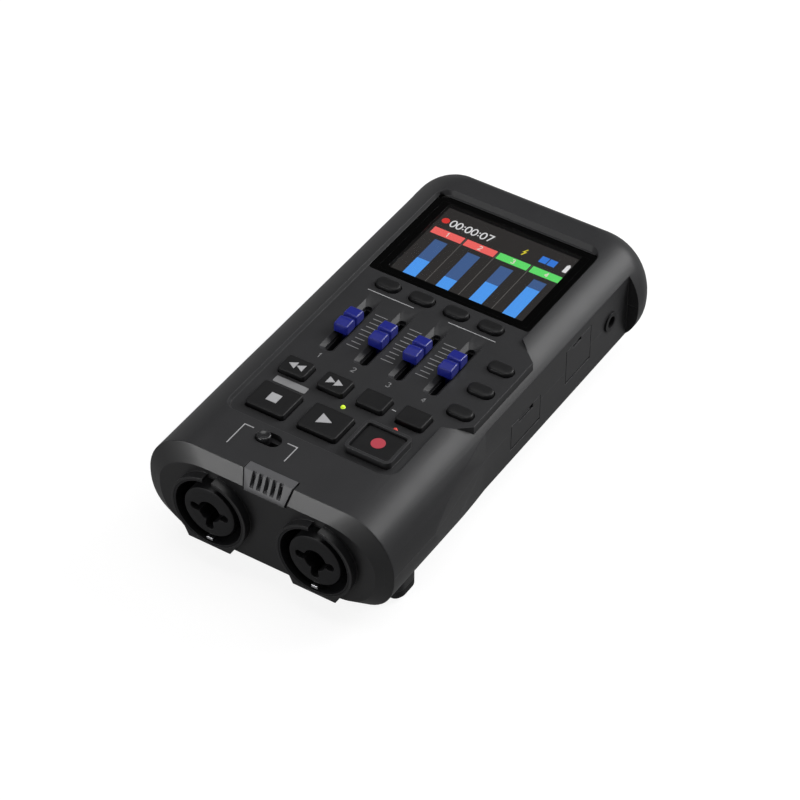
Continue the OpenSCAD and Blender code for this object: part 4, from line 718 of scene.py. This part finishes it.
# Each style is a width, a length, a corner radius, a rise over the panel, an edge rounding
# and a dish; a dish below zero is a dome.
KEY_RISE = 1.6
KEY_STYLES = {
    "pill": (7.3, 4.1, 1.95, 1.2, 0.55, -0.1),
    "small": (8.1, 6.2, 0.8, KEY_RISE, 0.32, 0.05),
    "large": (11.9, 9.8, 0.8, KEY_RISE, 0.34, 0.06),
    "record": (11.6, 9.8, 0.8, KEY_RISE, 0.34, 0.06),
}
KEY_ROWS = (
    ("pill", ("channel_key_1", "channel_key_2", "channel_key_3", "channel_key_4",
              "input_key", "effect_key", "rhythm_key")),
    ("small", ("rewind_key", "forward_key", "undo_key", "bounce_key")),
    ("large", ("stop_key", "play_key")),
    ("record", ("record_key",)),
)
key_middle = {}
for style, names in KEY_ROWS:
    for key_name in names:
        low, high = (np.array(corner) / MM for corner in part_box(key_name))
        key_middle[key_name] = (low + high)[:2] / 2
        piece(key_name + "_cap", [key_skin(*key_middle[key_name], *KEY_STYLES[style])],
              key_black, body=key_name + "_body", stands_for=(key_name,))


def print_ink(name, tint):
    """Material of printing: matt, thin, and without the lighter edges of wear and painted
    highlight.
    """
    return moulding(name, tint, 0.55, 0.3, grain=3000.0, depth=0.000004, mottle=0.1, wear_and_highlight=0.0)


print_grey = print_ink("print_grey", (0.36, 0.36, 0.37))
print_red = print_ink("print_red", (0.42, 0.045, 0.065))
tag_grey = print_ink("tag_grey", (0.22, 0.22, 0.225))
INK = 0.02
SIGN_SINK = 0.08


def pointer_outline(x, half, long):
    """Triangle about x that points along X, or back along it where long is negative."""
    corners = np.array([[x - long / 2, -half], [x + long / 2, 0.0], [x - long / 2, half]])
    return corners if long > 0 else corners[::-1]


def key_sign(key_name, outlines, material):
    """Flat printed sign on a transport key, moving with it; outlines are about its middle."""
    top = PANEL_Z + KEY_RISE
    plates = [plate_skin(outline + key_middle[key_name], top - SIGN_SINK, top + INK)
              for outline in outlines]
    piece(key_name + "_sign", plates, material, body=key_name + "_body")


WIND_HALF, WIND_LONG, WIND_NEAR, WIND_FAR = 1.35, 2.3, 1.15, 1.25
PLAY_HALF, PLAY_LONG = 2.0, 3.9
STOP_HALF, RECORD_R = 1.6, 1.95
key_sign("rewind_key", [pointer_outline(x, WIND_HALF, -WIND_LONG) for x in (-WIND_FAR, WIND_NEAR)],
         print_grey)
key_sign("forward_key", [pointer_outline(x, WIND_HALF, WIND_LONG) for x in (-WIND_NEAR, WIND_FAR)],
         print_grey)
key_sign("stop_key", [box_outline(-STOP_HALF, STOP_HALF, -STOP_HALF, STOP_HALF)], print_grey)
key_sign("play_key", [pointer_outline(0.0, PLAY_HALF, PLAY_LONG)], print_grey)
key_sign("record_key", [disc_outline(0.0, 0.0, RECORD_R)], print_red)

# Faders: satin blue caps with two rounded lobes and a finger groove between them, each
# pressed on a stem that runs in a slot of the panel.
FADER_PITCH = 10.77
FADER_HALF_LONG, FADER_HALF_WIDE = 4.2, 2.15
FADER_BASE, FADER_CREST = PANEL_Z + 0.5, PANEL_Z + 3.38
WAIST, WAIST_SPREAD = 0.30, 0.10
GROOVE, GROOVE_SPREAD = 0.70, 0.12
SLOPE, SLOPE_FROM, SLOPE_SPAN = 0.22, 0.4, 0.5
END_FROM, END_SPAN, END_WIDE, END_TALL = 0.91, 0.09, 0.84, 0.80
STEM_HALF_WIDE, STEM_HALF_LONG, STEM_TOP = 0.65, 2.5, PANEL_Z + 0.8


def fader_skin(x, y):
    """Fader cap along Y: at share v of its length its half width and height follow two lobes.

    Half width is full less a waist in the middle and a quarter round at each end. Height
    slopes down over both lobes, with a groove between them and a fall at the ends.
    """
    v = np.linspace(-1, 1, 61)
    ends = np.sqrt(np.maximum(0, 1 - np.clip((np.abs(v) - END_FROM) / END_SPAN, 0, 1) ** 2))
    waist = WAIST * np.exp(-((v / WAIST_SPREAD) ** 2))
    groove = GROOVE * np.exp(-((v / GROOVE_SPREAD) ** 2))
    slope = SLOPE * np.clip((np.abs(v) - SLOPE_FROM) / SLOPE_SPAN, 0, 1)
    wide = (FADER_HALF_WIDE - waist) * (END_WIDE + (1 - END_WIDE) * ends)
    tall = (FADER_CREST - FADER_BASE) * (END_TALL + (1 - END_TALL) * ends) - groove - slope
    across = np.array([-1, -1, -0.95, -0.84, 0.84, 0.95, 1, 1])
    upward = np.array([0, 0.80, 0.94, 1, 1, 0.94, 0.80, 0])
    along = np.repeat((y + FADER_HALF_LONG * v)[:, None], across.size, 1)
    return skin_of(np.stack([
        x + wide[:, None] * across, along, FADER_BASE + tall[:, None] * upward], -1))


fader_blue = moulding("fader_blue", (0.008, 0.013, 0.185), 0.34, 0.40, grain=2600.0,
                      depth=0.000006, mottle=0.1, wear_and_highlight=0.5, edge=0.00012)
for number in range(1, 5):
    low, high = (np.array(corner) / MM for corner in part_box("fader_cap_%d" % number))
    cap_x, cap_y = (low + high)[:2] / 2
    stem = block_skin((cap_x - STEM_HALF_WIDE, cap_y - STEM_HALF_LONG, low[2]),
                      (cap_x + STEM_HALF_WIDE, cap_y + STEM_HALF_LONG, STEM_TOP))
    piece("fader_cap_form_%d" % number, [fader_skin(cap_x, cap_y), stem], fader_blue,
          body="fader_cap_%d_body" % number, stands_for=("fader_cap_%d" % number,), crisp=0.5)

# Printing: thin pale lines, scale ticks, channel figures and a blank tag printed on the
# panel, and the bracket of the input switch printed on the crown.
CROWN_Z = 37.3
PANEL_INK = (PANEL_Z - INK, PANEL_Z + INK)
CROWN_INK = (CROWN_Z - INK, CROWN_Z + INK)
TICK_MIDDLES = FADER_PITCH * np.array((-1, 0, 1))
TICK_ROWS = PANEL_Y + np.linspace(58.9, 72.95, 9)
TICK_HALVES = np.where(np.arange(9) % 4 == 0, 1.94, 1.45)
TICK_STROKE, LINE_STROKE, DASH_STROKE, BRACKET_STROKE = 0.26, 0.28, 0.3, 0.32
piece("panel_ticks", [ribbon_skin([[x - half, y], [x + half, y]], TICK_STROKE, *PANEL_INK)
                      for x in TICK_MIDDLES for y, half in zip(TICK_ROWS, TICK_HALVES)],
      tag_grey)
LINE_Y, LINE_SPANS = PANEL_Y + 80.75, ((-20.1, -5.5), (5.3, 20.0))
DASH_Y, DASH_LEFT, DASH_RIGHT = PANEL_Y + 43.7, 11.3, 12.6
lines = [ribbon_skin([[x0, LINE_Y], [x1, LINE_Y]], LINE_STROKE, *PANEL_INK)
         for x0, x1 in LINE_SPANS]
lines.append(ribbon_skin([[DASH_LEFT, DASH_Y], [DASH_RIGHT, DASH_Y]], DASH_STROKE, *PANEL_INK))
piece("panel_lines", lines, print_grey)
NUMBER_Y, NUMBER_WIDE, NUMBER_TALL = PANEL_Y + 50.4, 1.0, 1.7
figures = []
for place_x, sign in zip(FADER_PITCH * (np.arange(4) - 1.5), "1234"):
    figures += digit_skins(sign, place_x - NUMBER_WIDE / 2, NUMBER_Y, NUMBER_WIDE, NUMBER_TALL,
                           TICK_STROKE, *PANEL_INK)
piece("panel_figures", figures, tag_grey)
TAG_X, TAG_Y, TAG_WIDE, TAG_LONG, TAG_CORNER = -16.0, PANEL_Y + 37.6, 10.0, 2.4, 0.4
tag_rings = cap_rings(TAG_X, TAG_Y, TAG_WIDE, TAG_LONG, TAG_CORNER, (0, 0), PANEL_INK)
piece("panel_tag", [skin_of(tag_rings)], tag_grey)
BRACKET_PATHS = ([[-16.5, 9.2], [-16.5, 17.4], [-13.7, 17.4]],
                 [[-3.2, 17.2], [-0.2, 17.2], [-0.2, 11.2]])
piece("switch_lines", [ribbon_skin(np.array(path) + (0, PANEL_Y), BRACKET_STROKE, *CROWN_INK)
                       for path in BRACKET_PATHS], print_grey)

# Input switch: a small black knob with a dished top that slides in an oval pocket. It is
# turned here as one profile about its axis.


def turned_skin(x, y, radii, heights, n=40):
    """Turned shape about a vertical axis: circles of the given radii at the given heights."""
    angle = np.linspace(0, 2 * np.pi, n, endpoint=False)
    radii, heights = np.asarray(radii, float)[:, None], np.asarray(heights, float)[:, None]
    rings = np.stack([x + radii * np.cos(angle), y + radii * np.sin(angle),
                      np.broadcast_to(heights, (len(radii), n))], -1)
    return skin_of(rings)


KNOB_FOOT, KNOB_WALL, KNOB_SHOULDER = 35.55, 37.4, 37.8
KNOB_FOOT_R, KNOB_R, KNOB_ROUND = 0.6, 1.9, 0.4
KNOB_DISH_RADII, KNOB_DISH_HEIGHTS = (1.1, 0.9, 0.3), (38.15, 38.05, 38.0)
KNOB_STEM_HALF, KNOB_STEM_TOP = 0.8, 35.7
low, high = (np.array(corner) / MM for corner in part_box("input_toggle"))
knob_x, knob_y = (low + high)[:2] / 2
knob_turn = np.linspace(0, np.pi / 2, 6)
knob_radii = np.r_[KNOB_FOOT_R, KNOB_R, KNOB_R,
                   KNOB_R - KNOB_ROUND + KNOB_ROUND * np.cos(knob_turn), KNOB_DISH_RADII]
knob_heights = np.r_[KNOB_FOOT, KNOB_FOOT, KNOB_WALL,
                     KNOB_SHOULDER + KNOB_ROUND * np.sin(knob_turn), KNOB_DISH_HEIGHTS]
knob_stem = block_skin((knob_x - KNOB_STEM_HALF, knob_y - KNOB_STEM_HALF, low[2]),
                       (knob_x + KNOB_STEM_HALF, knob_y + KNOB_STEM_HALF, KNOB_STEM_TOP))
knob_gloss = moulding("knob_gloss", (0.016, 0.016, 0.017), 0.25, 0.5, wear_and_highlight=0.4)
piece("input_knob", [turned_skin(knob_x, knob_y, knob_radii, knob_heights), knob_stem],
      knob_gloss, body="input_toggle_body", stands_for=("input_toggle",))

# Lamps: two clear light guides that come up through the panel, one lit green and one red.


def lit_dome(name, colour, glow):
    """Material of a lit guide: the colour glows through a glossy skin."""
    made, tree, shader = plain_material(name, Roughness=0.25, Emission_Strength=glow)
    tone = add_group(tree, skin_group, Tint=(*colour, 1), Grain=900.0)
    for socket in ("Emission Color", "Base Color"):
        tree.links.new(tone.outputs["Colour"], shader.inputs[socket])
    return made


LAMPS = (("play_lamp", "lamp_green", (0.45, 0.62, 0.03), 0.9),
         ("record_lamp", "lamp_red", (0.50, 0.05, 0.04), 0.5))
LAMP_R, DOME_R, DOME_STEP, DOME_TALL = 0.65, 0.55, 0.05, 0.5
dome_turn = np.linspace(0, np.pi / 2, 7)[:-1]
for lamp_name, lamp_slot, lamp_colour, glow in LAMPS:
    low, high = (np.array(corner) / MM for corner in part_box(lamp_name))
    lamp_x, lamp_y = (low + high)[:2] / 2
    lamp_radii = np.r_[LAMP_R, LAMP_R, DOME_R * np.cos(dome_turn)]
    lamp_heights = np.r_[low[2], PANEL_Z, PANEL_Z + DOME_STEP + DOME_TALL * np.sin(dome_turn)]
    piece(lamp_name + "_dome", [turned_skin(lamp_x, lamp_y, lamp_radii, lamp_heights)],
          lit_dome(lamp_name + "_light", lamp_colour, glow), stands_for=(lamp_name,))
